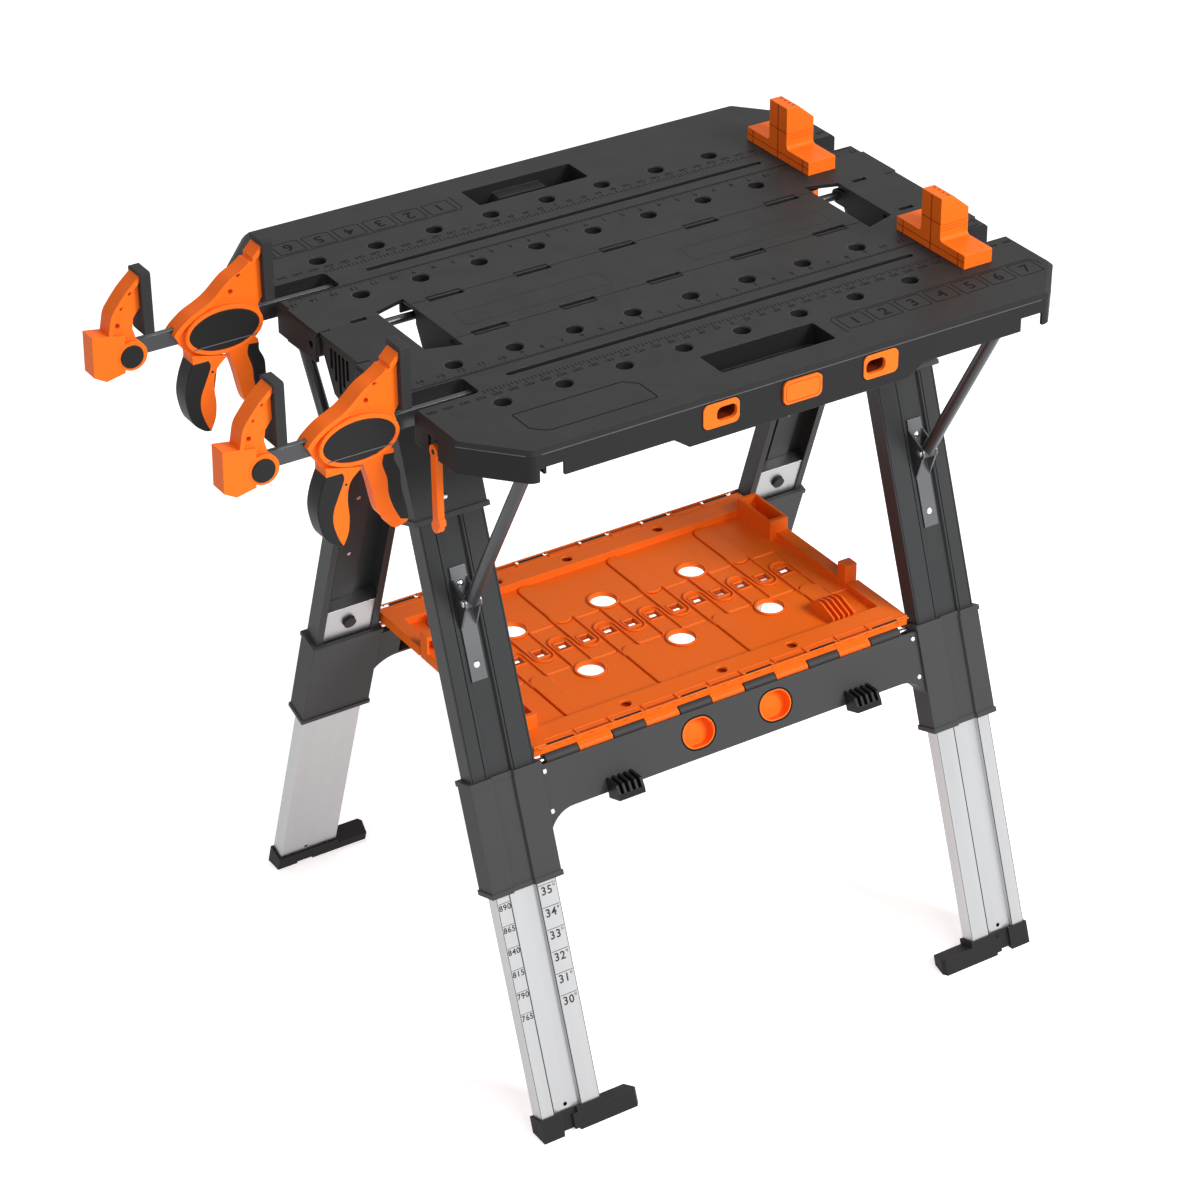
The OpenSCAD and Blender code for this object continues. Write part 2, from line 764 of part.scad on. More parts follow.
module side_socket(s) translate([s * socket_x, half_w + socket_proud, socket_z]) rotate([90, 0, 0])
    difference() {
        linear_extrude(socket_d) round_rect(socket_w, socket_h, round_r);
        translate([-s * socket_shift, 0, -over]) linear_extrude(socket_d - cup_t)
            round_rect(socket_hole_w, socket_hole_h, round_r);
    }

module side_sockets_front() color("#ff6a1e") on("front") for (s = [-1, 1]) side_socket(s);
module side_sockets_back() color("#ff6a1e") on("back") for (s = [-1, 1]) side_socket(s);

module push_button() translate([0, half_w + button_proud, button_z]) rotate([90, 0, 0])
    linear_extrude(button_d) round_rect(button_w, button_h, round_r);

module push_button_front() color("#ff6a1e") on("front") push_button();
module push_button_back() color("#ff6a1e") on("back") push_button();

// Hanging strap on the wing's end, with its pivot and two bumps
module latch_strap() translate([strap_mid, strap_y, strap_z]) difference() {
    union() {
        x_rod(strap_head_r, strap_t);
        x_plate([[-strap_w / 2, 0], [strap_w / 2, 0], [strap_w / 2, -strap_l], [-strap_w / 2, -strap_l]],
            strap_t);
        for (y = [-1, 1]) translate([0, y * (strap_w / 2 - bump_r / 2), -strap_l + y * bump_r / 2])
            x_rod(bump_r, strap_t);
    }
    x_rod(strap_pin_r + run_gap, strap_t + 2 * over);
}

module latch_strap_front() color("#ff6a1e") on("front") latch_strap();
module latch_strap_back() color("#ff6a1e") on("back") latch_strap();

// Leg frames

// Leg outline: width w, from face a to back b, recess floor at depth c and half width e
function leg_outline(w, a, b, c, e) = let (r = strut_x - leg_x) [
    [-w / 2, -a], [r - e - recess_slope, -a], [r - e, -c], [r + e, -c],
    [r + e + recess_slope, -a], [w / 2, -a], [w / 2, -b], [-w / 2, -b]];

function upper_outline() = leg_outline(leg_w, 0, leg_d, recess_h, recess_w / 2);
function upper_hollow() = leg_outline(leg_w - 2 * leg_wall, leg_wall, leg_d - leg_wall,
    recess_h + leg_wall, recess_w / 2 + leg_wall);
function lower_outline(g = 0) = leg_outline(lower_w + 2 * g, lower_face - g, lower_back + g,
    recess_h + lower_face - g, recess_w / 2 + lower_face - g);
function sleeve_outline(g = 0) = leg_outline(leg_w + 2 * (sleeve_t + g), -sleeve_t - g,
    leg_d + sleeve_t + g, -g, recess_w / 2 - 1);

// An outline standing on the leg between two levels
module leg_run(points, low, high) {
    translate([leg_x, 0, low]) linear_extrude(high - low) polygon(points);
}

upper_top = -cap_top - cap_end_t;
sleeve_stop = 7;       // upper leg ends this far above the sleeve's lower end
upper_low = up(sleeve_low + sleeve_stop);

module upper_leg() along_leg() difference() {
    leg_run(upper_outline(), upper_low, upper_top);
    leg_run(upper_hollow(), upper_low - over, upper_top + over);
    span_box([leg_x - leg_w / 2 + leg_lip, -leg_d - over, upper_low - over],
        [leg_x + leg_w / 2 - leg_lip, -leg_d + leg_wall + over, upper_top + over]);
    // strut bracket rivets
    for (z = [rivet_high, -rivet_low]) translate([strut_x, over, z - strut_foot_drop])
        rotate([90, 0, 0]) cylinder(r = shank_r + fit_gap, h = 3 * recess_h);
}

module upper_legs_front() color("#5a5b5d") on("front") pair() upper_leg();
module upper_legs_back() color("#5a5b5d") on("back") pair() upper_leg();

cap_low = -cap_top - cap_l;
cap_lip = 6;
cap_lip_t = 2;
cap_rivet_rise = 24;
rivet_cap_z = cap_low + cap_rivet_rise;
cap_brow = 12;         // brow's rise above the cap's shoulder
cap_brow_in = 8;
arm_neck = 3;
cap_d = leg_d + sleeve_t;
arm_drop = 20;
arm_knee = 38;
arm_knee_in = 7;
arm_lean = 2;

module leg_cap() along_leg() difference() {
    union() {
        leg_run(leg_outline(leg_w + 2 * sleeve_t, -sleeve_t, leg_d + sleeve_t, -sleeve_t, recess_w / 2),
            cap_low, -cap_top);
        leg_run(leg_outline(leg_w + 2 * sleeve_t + 2 * cap_lip_t, -sleeve_t - cap_lip_t, leg_d + sleeve_t,
            -sleeve_t - cap_lip_t, recess_w / 2), cap_low, cap_low + cap_lip);
        // arm up to the rod
        translate([0, leg_off, 0]) {
            x_rod(arm_r, arm_w, arm_x);
            x_plate([[arm_r, 0], [0, -arm_drop], [sleeve_t - leg_off, -arm_knee],
                [sleeve_t - leg_off, -cap_top - cap_lip], [-leg_off - cap_d, -cap_top - cap_lip],
                [-leg_off - cap_d, -cap_top], [-leg_off - leg_d / 2 - arm_neck, arm_knee_in - cap_top],
                [-arm_r - arm_lean, -arm_r / 2], [-arm_r, 0]], arm_w, arm_x);
        }
        // brow across the top of the cap
        translate([0, leg_off, 0]) x_plate([[sleeve_t - leg_off, cap_brow - cap_top],
            [sleeve_t - leg_off, -cap_top - cap_lip], [-leg_off - leg_d, -cap_top - cap_lip],
            [-leg_off - leg_d, -cap_top], [-leg_off - cap_brow_in, -cap_top]],
            leg_w + 2 * sleeve_t, leg_x);
    }
    leg_run(upper_outline(), cap_low - over, upper_top + fit_gap);
    translate([arm_x, leg_off, 0]) x_rod(rod_r + run_gap, arm_w + 2 * over);
    translate([strut_x, over, rivet_cap_z]) rotate([90, 0, 0])
        translate([0, 0, -sleeve_t - over]) cylinder(r = shank_r + fit_gap, h = 2 * sleeve_t);
}

module leg_caps_front() color("#3a3a3a") on("front") pair() leg_cap();
module leg_caps_back() color("#3a3a3a") on("back") pair() leg_cap();

// Crossbar with a sleeve round each leg

function oval_points(w, h, n = 40) = [for (i = [0 : n - 1]) [w / 2 * cos(360 * i / n), h / 2 * sin(360 * i / n)]];

module window_hole(w, h) {
    square([w - h, h], center = true);
    for (s = [-1, 1]) translate([s * (w - h) / 2, 0]) circle(d = h);
}

module crossbar() along_leg() difference() {
    union() {
        span_box([-arch_x - arch_r, -leg_d, up(bar_top - bar_h)], [arch_x + arch_r, 0, up(bar_top)]);
        span_box([-arch_x - arch_r, -shell_t, up(bar_top) - over],
            [arch_x + arch_r, 0, up(bar_top) + apron_h]);
        pair() {
            leg_run(sleeve_outline(), up(sleeve_low), up(sleeve_top));
            leg_run(sleeve_outline(sleeve_lip_t), up(sleeve_low), up(sleeve_low) + cap_lip);
            leg_run(sleeve_outline(sleeve_lip_t), up(sleeve_top) - cap_lip, up(sleeve_top));
            difference() {
                span_box([arch_x, -leg_d, up(bar_top - bar_h) - arch_r],
                    [arch_x + arch_r, 0, up(bar_top - bar_h) + over]);
                translate([arch_x, over, up(bar_top - bar_h) - arch_r]) rotate([90, 0, 0])
                    cylinder(r = arch_r, h = leg_d + 2 * over);
            }
        }
        for (i = [0 : shelf_ear_n - 1]) translate([(i - (shelf_ear_n - 1) / 2) * shelf_ear_pitch,
            -shelf_rod_in, up(bar_top) + shelf_rod_rise]) {
            x_rod(shelf_ear_r, shelf_ear_w);
            x_plate([[shelf_ear_r, 0], [shelf_ear_r, -shelf_rod_rise - over],
                [-leg_d + shelf_rod_in, -shelf_rod_rise - over], [-leg_d + shelf_rod_in, 0]],
                shelf_ear_w);
        }
    }
    // hollow from behind
    difference() {
        span_box([-arch_x, -leg_d - over, up(bar_top - bar_h) + shell_t],
            [arch_x, -shell_t, up(bar_top) - shell_t]);
        for (i = [0 : rib_n - 1]) {
            x = (i - (rib_n - 1) / 2) * rib_pitch;
            if (abs(abs(x) - window_x) > window_w / 2 + rib_t)
                span_box([x - rib_t / 2, -leg_d, up(bar_top - bar_h)], [x + rib_t / 2, 0, up(bar_top)]);
        }
    }
    pair() {
        leg_run(upper_outline(), upper_low - fit_gap, up(sleeve_top) + over);
        leg_run(lower_outline(touch_gap), up(sleeve_low) - over, upper_low);
        translate([window_x, over, up(window_s)]) rotate([90, 0, 0])
            linear_extrude(cup_d + over + fit_gap)
                window_hole(window_w + 2 * fit_gap, window_h + 2 * fit_gap);
    }
    translate([0, -shelf_rod_in, up(bar_top) + shelf_rod_rise])
        x_rod(shelf_rod_r + run_gap, 2 * shelf_half);
}

module crossbar_front() color("#3c3c3c") on("front") crossbar();
module crossbar_back() color("#3c3c3c") on("back") crossbar();

module window_cup() along_leg() translate([window_x, 0, up(window_s)]) rotate([90, 0, 0]) difference() {
    linear_extrude(cup_d) window_hole(window_w, window_h);
    translate([0, 0, -over]) linear_extrude(cup_d - cup_t + over)
        window_hole(window_w - 2 * cup_t, window_h - 2 * cup_t);
}

module window_cups_front() color("#ff6a1e") on("front") pair() window_cup();
module window_cups_back() color("#ff6a1e") on("back") pair() window_cup();

// Comb-shaped hook under the crossbar's edge
module cord_hook() along_leg() translate([hook_x, 0, up(bar_top - bar_h)]) {
    span_box([-hook_w / 2, fit_gap, -hook_base], [hook_w / 2, hook_out, 0]);
    for (i = [0 : hook_n - 1]) {
        x = -hook_w / 2 + hook_rib / 2 + i * (hook_w - hook_rib) / (hook_n - 1);
        x_plate([[fit_gap, 0], [hook_out, 0], [hook_out - hook_nose, hook_h - 2 * hook_nose],
            [hook_out / 2, hook_h - hook_nose], [fit_gap, hook_h]], hook_rib, x);
    }
}

module cord_hooks_front() color("#262626") on("front") pair() cord_hook();
module cord_hooks_back() color("#262626") on("back") pair() cord_hook();

// Bracket in the leg's recess that carries the strut's foot
module strut_bracket() along_leg() translate([0, 0, -strut_foot_drop]) difference() {
    union() {
        span_box([strut_x - bracket_w / 2, -recess_h + fit_gap, -bracket_low],
            [strut_x + bracket_w / 2, -recess_h + fit_gap + bracket_t, bracket_high]);
        for (s = [-1, 1]) translate([0, strut_foot_out, 0]) {
            x = strut_x + s * (strut_eye_w / 2 + touch_gap + bracket_t / 2);
            x_rod(cheek_r, bracket_t, x);
            x_plate([[-strut_foot_out - recess_h + fit_gap, -cheek_low],
                [cheek_r * sin(cheek_a), -cheek_r * cos(cheek_a)],
                [cheek_r * sin(cheek_a), cheek_r * cos(cheek_a)],
                [-strut_foot_out - recess_h + fit_gap, cheek_high]], bracket_t, x);
        }
    }
    translate([0, strut_foot_out, 0]) x_rod(strut_pin_r + run_gap, 2 * bracket_w, strut_x);
    for (z = [rivet_high, -rivet_low]) translate([strut_x, 0, z]) rotate([90, 0, 0])
        cylinder(r = shank_r + fit_gap, h = 3 * recess_h, center = true);
}

module strut_brackets_front() color("#77797c") on("front") pair() strut_bracket();
module strut_brackets_back() color("#77797c") on("back") pair() strut_bracket();

// Domed head at z = 0 with a shank of length l behind it
module rivet(r, l) {
    ball = (r * r + dome_h * dome_h) / (2 * dome_h);
    intersection() {
        translate([0, 0, dome_h - ball]) sphere(ball);
        cylinder(r = r, h = dome_h);
    }
    translate([0, 0, -l]) cylinder(r = shank_r, h = l + dome_h / 4);
}

// A rivet whose head faces outwards from the leg at x, level z and face y
module leg_rivet(x, z, y, r, l) { translate([x, y, z]) rotate([-90, 0, 0]) rivet(r, l); }

// Rivets, screws, strut pins and the shelf's rod of one frame
module frame_pins() along_leg() {
    pair() {
        for (z = [rivet_high, -rivet_low])
            leg_rivet(strut_x, z - strut_foot_drop, -recess_h + fit_gap + bracket_t, rivet_r,
                bracket_t + leg_wall);
        leg_rivet(strut_x, rivet_cap_z, sleeve_t, screw_r, sleeve_t - fit_gap);
        for (d = [screw_drop_top, screw_drop_low])
            leg_rivet(screw_x, up(bar_top) - d, 0, screw_r, 0);
        translate([0, strut_foot_out, -strut_foot_drop]) {
            x_rod(strut_pin_r, strut_eye_w + 4 * bracket_t, strut_x);
            for (s = [-1, 1])
                x_rod(strut_pin_r + head_w, head_w,
                    strut_x + s * (strut_eye_w / 2 + touch_gap + bracket_t + head_w / 2 + fit_gap));
        }
    }
    translate([0, -shelf_rod_in, up(bar_top) + shelf_rod_rise]) x_rod(shelf_rod_r, 2 * (shelf_half - touch_gap));
}

module frame_pins_front() color("#c8cacc") on("front") frame_pins();
module frame_pins_back() color("#c8cacc") on("back") frame_pins();

// Struts

// The strut's foot on the bench, for the back side
foot_pivot = [hinge_y - (leg_off - strut_foot_out) * cos(leg_tilt) + strut_foot_drop * sin(leg_tilt),
    hinge_z - (leg_off - strut_foot_out) * sin(leg_tilt) - strut_foot_drop * cos(leg_tilt)];
strut_run = [strut_head_y, bench_h - strut_head_drop] - foot_pivot;
strut_l = norm(strut_run);

module strut() translate([strut_x, foot_pivot[0], foot_pivot[1]])
    rotate([-atan2(strut_run[0], strut_run[1]), 0, 0]) difference() {
        union() {
            x_rod(strut_d / 2, strut_eye_w);
            cylinder(d = strut_d, h = strut_l);
            translate([0, 0, strut_l]) x_rod(strut_d / 2, strut_eye_w);
            translate([0, 0, strut_l]) x_rod(head_pin_r, head_pin_l);
        }
        x_rod(strut_pin_r + run_gap, strut_eye_w + 2 * over);
    }

module strut_front_left() color("#4a4c4f") on("front") hand("front", "left") strut();
module strut_front_right() color("#4a4c4f") on("front") hand("front", "right") strut();
module strut_back_left() color("#4a4c4f") on("back") hand("back", "left") strut();
module strut_back_right() color("#4a4c4f") on("back") hand("back", "right") strut();

// Lower legs, their locks and feet

module lower_leg() along_leg() difference() {
    leg_run(lower_outline(), up(foot_low), up(lower_top));
    leg_run(leg_outline(lower_w - 2 * leg_wall, lower_face + leg_wall, lower_back - leg_wall,
        recess_h + lower_face + leg_wall, recess_w / 2 + lower_face + leg_wall),
        up(foot_low) - over, up(lower_top) - plug_h);
    translate([leg_x, -lower_back - over, up(sleeve_top + lock_rise)]) rotate([-90, 0, 0])
        cylinder(r = lock_r + touch_gap, h = leg_wall + 2 * over);
    translate([strut_x, over, up(foot_low + foot_rivet_rise)]) rotate([90, 0, 0])
        cylinder(r = shank_r, h = 2 * leg_d);
}

module lower_leg_front_left() color("#d8dadc") on("front") hand("front", "left") lower_leg();
module lower_leg_front_right() color("#d8dadc") on("front") hand("front", "right") lower_leg();
module lower_leg_back_left() color("#d8dadc") on("back") hand("back", "left") lower_leg();
module lower_leg_back_right() color("#d8dadc") on("back") hand("back", "right") lower_leg();

// Spring button in the inner face of a lower leg
module leg_lock() along_leg() translate([leg_x, -lower_back - lock_d / 2, up(sleeve_top + lock_rise)])
    rotate([-90, 0, 0]) {
        cylinder(r = lock_r, h = lock_d);
        translate([0, 0, lock_d / 2 + leg_wall + touch_gap]) cylinder(r = lock_r + lock_rim, h = lock_rim);
    }

module leg_lock_front_left() color("#1e1e1e") on("front") hand("front", "left") leg_lock();
module leg_lock_front_right() color("#1e1e1e") on("front") hand("front", "right") leg_lock();
module leg_lock_back_left() color("#1e1e1e") on("back") hand("back", "left") leg_lock();
module leg_lock_back_right() color("#1e1e1e") on("back") hand("back", "right") leg_lock();

// Boot with a toe that points towards the middle, cut level at the floor
module foot() difference() {
    intersection() {
        along_leg() {
            difference() {
                span_box([leg_x - lower_w / 2 - foot_t, -lower_back - foot_t, up(0) - foot_h],
                    [leg_x + lower_w / 2 + foot_t, 0, up(foot_h)]);
                translate([strut_x - recess_w / 2 + foot_t, -recess_h, up(0) - foot_h])
                    cube([recess_w - 2 * foot_t, recess_h + over, 3 * foot_h]);
            }
            translate([0, 0, up(0) - foot_h]) linear_extrude(foot_h + toe_h) polygon([
                [leg_x, 0], [leg_x - toe_in, 0], [leg_x - toe_in - toe_nose, -toe_back],
                [leg_x - toe_in, -lower_back - foot_t], [leg_x, -lower_back - foot_t]]);
        }
        translate([leg_x - toe_in - leg_w / 2, 0, 0]) cube([2 * leg_w + toe_in, 2 * half_w, foot_h]);
    }
    along_leg() leg_run(lower_outline(fit_gap), up(foot_low), up(foot_h) + over);
    // hollow of the sole
    translate([strut_x - sole_gap_w / 2, 0, -over]) cube([sole_gap_w, 2 * half_w, sole_gap + over]);
}

module foot_front_left() color("#3a3a3a") on("front") hand("front", "left") foot();
module foot_front_right() color("#3a3a3a") on("front") hand("front", "right") foot();
module foot_back_left() color("#3a3a3a") on("back") hand("back", "left") foot();
module foot_back_right() color("#3a3a3a") on("back") hand("back", "right") foot();

// Shelf

// Rod of the back crossbar, in the bench's own directions
rod_in = leg_off + shelf_rod_in;
rod_up = up(bar_top) + shelf_rod_rise;
shelf_rod = [hinge_y - rod_in * cos(leg_tilt) - rod_up * sin(leg_tilt),
    hinge_z - rod_in * sin(leg_tilt) + rod_up * cos(leg_tilt)];
tray_z = shelf_rod[1] + shelf_knuckle_r + tray_rise;
tray_top = tray_z + tray_t;
rim_end = shelf_rod[0] + rim_out;

// Middles of this half's fingers, every other place of the comb
finger_places = [for (i = [0 : 2 : finger_n - 1]) -comb_half + (i + 0.5) * finger_pitch];

module shelf() difference() {
    union() {
        // floor and fingers
        span_box([-comb_half + shelf_gap / 2, notch_y, tray_z], [shelf_half, rim_end, tray_top]);
        span_box([-shelf_half, end_reach + tip_gap, tray_z], [-comb_half + over, rim_end, tray_top]);
        for (x = finger_places) span_box([x - finger_pitch / 2 + shelf_gap / 2, -finger_reach, tray_z],
            [x + finger_pitch / 2 - shelf_gap / 2, notch_y + over, tray_top]);
        span_box([comb_half + shelf_gap / 2, -end_reach, tray_z], [shelf_half, notch_y + over, tray_top]);
        // rims
        difference() {
            span_box([-shelf_half, rim_in_y, tray_z], [shelf_half, rim_end, tray_top + rim_h]);
            span_box([-shelf_half + rim_wall, rim_in_y + rib_t, tray_z - over],
                [shelf_half - rim_wall, rim_end - rib_t, tray_top + rim_h - rib_t]);
        }
        span_box([-shelf_half, end_reach + tip_gap, tray_z],
            [-shelf_half + rim_wall, rim_in_y + over, tray_top + rim_h]);
        span_box([shelf_half - rim_wall, -end_reach, tray_z],
            [shelf_half, rim_in_y + over, tray_top + rim_h]);
        // pocket block, clip post and louvre
        span_box([pocket_x, pocket_y0, tray_z], [shelf_half, pocket_y1, tray_top + pocket_top]);
        difference() {
            span_box([shelf_half - rim_wall, -end_reach, tray_z],
                [shelf_half, -end_reach + post_l, tray_top + post_top]);
            span_box([shelf_half - rim_wall + rib_t, -end_reach + rib_t, tray_top + rim_h],
                [shelf_half - rib_t, -end_reach + post_l + over, tray_top + post_top - 2 * rib_t]);
        }
        for (i = [0 : louvre_n - 1]) x_plate(concat([[louvre_y0, tray_top - over]],
            [for (a = [0 : 15 : 90]) [louvre_y0 + (louvre_y1 - louvre_y0) * (1 - cos(a)) / 2,
                tray_top + louvre_h * sin(a)]],
            [[louvre_y1, tray_top + louvre_h / 2], [louvre_y1, tray_top - over]]),
            louvre_t, louvre_x + (i - (louvre_n - 1) / 2) * (louvre_w - louvre_t) / (louvre_n - 1));
        // knuckles round the crossbar's rod, and the ribs that carry them
        for (i = [-2 : 2]) translate([0, shelf_rod[0], shelf_rod[1]]) {
            x_rod(shelf_knuckle_r, shelf_knuckle_w, i * shelf_ear_pitch);
            x_plate([[-shelf_knuckle_r, 0], [rim_out, 0], [rim_out, tray_z + tray_t / 2 - shelf_rod[1]],
                [-shelf_knuckle_r, tray_z + tray_t / 2 - shelf_rod[1]]], shelf_knuckle_w,
                i * shelf_ear_pitch);
        }
    }
    span_box([pocket_x + rib_t, pocket_y0 + 2 * rib_t, tray_top],
        [shelf_half - rib_t, pocket_y1 - 2 * rib_t, tray_top + pocket_top + over]);
    translate([0, shelf_rod[0], shelf_rod[1]]) x_rod(shelf_rod_r + run_gap, 2 * shelf_half + over);
    for (x = finger_places) translate([x, 0, tray_z - over])
        linear_extrude(tray_t + 2 * over) square(square_w, center = true);
    for (i = tray_hole_fingers) translate([finger_places[i], tray_hole_y, tray_z - over])
        cylinder(d = tray_hole_d, h = tray_t + 2 * over);
    for (k = rim_hole_shares) translate([k * shelf_half, rim_hole_y, tray_z - over])
        cylinder(d = rim_hole_d, h = rim_h + tray_t + 2 * over);
}

module shelf_front() color("#ff6a1e") on("front") shelf();
module shelf_back() color("#ff6a1e") on("back") shelf();

// Clamps, drawn in the bench's plane of a clamp slot with x outwards from the wing's end

// Puts a clamp piece on the left end of the named side's wing
module on_slot(side) {
    y = side == "front" ? -row_mid : row_mid;
    whole() translate([-half_l, y, bench_h - bar_drop]) mirror([1, 0, 0]) children();
}

// An outline in (x, z) spread across the clamp's plane
module clamp_plate(points, t) {
    translate([0, t / 2, 0]) rotate([90, 0, 0]) linear_extrude(t) polygon(points);
}

// A cylinder across the clamp's plane
module clamp_pin(x, z, r, t) { translate([x, t / 2, z]) rotate([90, 0, 0]) cylinder(r = r, h = t); }

module clamp_bar() difference() {
    span_box([-slot_l - seat_l + touch_gap, -clamp_bar_w / 2, -clamp_bar_h / 2],
        [clamp_bar_out, clamp_bar_w / 2, clamp_bar_h / 2]);
    for (x = [-slot_l - seat_l / 2, clamp_bar_out - seat_l / 2]) clamp_pin(x, 0, pin_r, 2 * clamp_bar_w);
}

pad_base = bar_drop + pad_gap;
body_x = pad_t - pad_over;             // back of the body's pad
end_x = body_x + clamp_open + pad_t;   // back of the end pad

// The shares run over a piece's width, outwards from the wing, and its height, upwards
jaw_arm_shares = [[0, 0.966], [0.27, 0.84], [0.48, 0.71], [0.58, 0.63], [0.63, 0.52], [0.67, 0.40],
    [0.69, 0.24]];
jaw_inner_shares = [[0.10, 0.24], [0.13, 0.37], [0.17, 0.45], [0.14, 0.55], [0, 0.64]];
jaw_plate_shares = [[0.36, 0.42], [0.98, 0.475], [1, 0.07], [0.77, 0], [0.40, 0.04]];
jaw_hole_shares = [[0.37, 0.68], [0.45, 0.51], [0.19, 0.81]];
body_arm_shares = [[0, 0.99], [0.14, 0.86], [0.25, 0.79], [0.38, 0.725], [0.55, 0.59], [0.67, 0.525],
    [0.81, 0.465], [0.94, 0.375], [1, 0.31]];
body_low_shares = [[0.96, 0.275], [0.90, 0.167], [0.83, 0.083], [0.66, 0], [0.42, 0], [0.18, 0.05],
    [0.07, 0.12], [0.02, 0.22], [0.03, 0.33], [0.05, 0.40], [0, 0.47]];
body_hole_shares = [[0.26, 0.75], [0.12, 0.88], [0.34, 0.60]];
grip_out_shares = [[0.795, 1], [0.795, 0.89], [0.92, 0.71], [0.99, 0.505], [0.95, 0.30], [0.85, 0.135],
    [0.64, 0.02], [0.51, 0]];
grip_in_shares = [[0.50, 0], [0.39, 0.14], [0.35, 0.325], [0.37, 0.51], [0.35, 0.655], [0.26, 0.78],
    [0, 0.91]];
lever_out_shares = [[0.99, 0.88], [0.85, 0.62], [0.70, 0.26], [0.53, 0.13], [0.45, 0.05], [0.28, 0],
    [0.01, 0.04]];
lever_in_shares = [[0, 0.06], [0.04, 0.21], [0.14, 0.47], [0.16, 0.67], [0.27, 0.81], [0.27, 0.97]];
lever_top_shares = [[0.48, 1.06], [0.79, 1.06], [0.99, 0.97]];
trigger_shares = [[0.70, 1.13], [0.06, 1.13], [0, 1], [0.30, 0.13], [0.94, 0.33], [0.94, 0.87]];
trigger_room_shares = [[-0.3, 1.22], [0.81, 1.22], [1.31, 0.87], [1.31, 0], [-0.3, 0]];

jaw_arm = curve(sized(jaw_arm_shares, jaw_w, jaw_h, end_x, jaw_z));
body_arm = curve(sized(body_arm_shares, body_w, body_h, body_x, body_z));

// A strip of width rim_t along the outer side of an arm
function arm_rim(arm) = concat(arm, [for (i = [len(arm) - 1 : -1 : 1])
    [max(arm[i][0] - rim_t, arm[0][0]), arm[i][1] - rim_t]]);

module clamp_holes(shares, w, h, x, z) {
    for (p = sized(shares, w, h, x, z)) clamp_pin(p[0], p[1], hole_r, clamp_t + 2 * over);
}

// End jaw: arm above, ring at the bar and a plate that closes its outer end
module clamp_end_jaw() difference() {
    union() {
        clamp_plate(concat(jaw_arm, sized(jaw_inner_shares, jaw_w, jaw_h, end_x, jaw_z)), web_t);
        clamp_plate(arm_rim(jaw_arm), clamp_t - over);
        clamp_pin(ring_x, ring_z, ring_r, clamp_t + cover_proud);
        clamp_plate(sized(jaw_plate_shares, jaw_w, jaw_h, end_x, jaw_z), clamp_t);
    }
    span_box([end_x - pad_t, -clamp_bar_w / 2 - fit_gap, -clamp_bar_h / 2 - fit_gap],
        [clamp_bar_out + fit_gap, clamp_bar_w / 2 + fit_gap, clamp_bar_h / 2 + fit_gap]);
    clamp_holes(jaw_hole_shares, jaw_w, jaw_h, end_x, jaw_z);
}

module clamp_pad(x) {
    translate([x, 0, pad_base + pad_h / 2]) rotate([0, 90, 0])
        linear_extrude(pad_t) round_rect(pad_h, pad_w, pad_r);
}

module clamp_end_pad() { clamp_pad(end_x - pad_t); }
module clamp_body_pad() { clamp_pad(-pad_over); }

// Clamp body: arm above, oval cover at the bar and grip below
module clamp_body() difference() {
    union() {
        clamp_plate(concat(body_arm, sized(body_low_shares, body_w, body_h, body_x, body_z)), web_t);
        clamp_plate(arm_rim(body_arm), clamp_t - over);
        translate([cover_x, clamp_t / 2 + cover_proud, cover_z]) rotate([90, 0, 0])
            linear_extrude(clamp_t + 2 * cover_proud) polygon(oval_points(cover_w, cover_h));
        clamp_plate(concat(curve(sized(grip_out_shares, grip_w, grip_h, grip_x, grip_z)),
            curve(sized(grip_in_shares, grip_w, grip_h, grip_x, grip_z))), clamp_t);
    }
    span_box([0, -clamp_bar_w / 2 - touch_gap, -clamp_bar_h / 2 - touch_gap],
        [clamp_bar_out, clamp_bar_w / 2 + touch_gap, clamp_bar_h / 2 + touch_gap]);
    clamp_holes(body_hole_shares, body_w, body_h, body_x, body_z);
    // rooms of the lever's head and the trigger
    span_box([lever_room_x, -lever_t / 2 - touch_gap, lever_room_top - lever_room_h],
        [lever_room_x + lever_room_w, lever_t / 2 + touch_gap, lever_room_top]);
    clamp_plate(sized(trigger_room_shares, trigger_w, trigger_h, trigger_x - trigger_back, trigger_z - trigger_h),
        trigger_t + 2 * touch_gap);
    clamp_pin(lever_x, lever_z, pin_r + run_gap, clamp_t + 4 * over);
    clamp_pin(trigger_x, trigger_z, pin_r / 2 + run_gap, clamp_t + 4 * over);
}

module clamp_lever() {
    clamp_plate(concat(curve(sized(lever_out_shares, lever_w, lever_h, lever_in, lever_low)),
        curve(sized(lever_in_shares, lever_w, lever_h, lever_in, lever_low)),
        sized(lever_top_shares, lever_w, lever_h, lever_in, lever_low)), lever_t);
    clamp_pin(lever_x, lever_z, pin_r, clamp_t);
}

module clamp_trigger() {
    clamp_plate(sized(trigger_shares, trigger_w, trigger_h, trigger_x - trigger_back, trigger_z - trigger_h),
        trigger_t);
    clamp_pin(trigger_x, trigger_z, pin_r / 2, clamp_t);
}

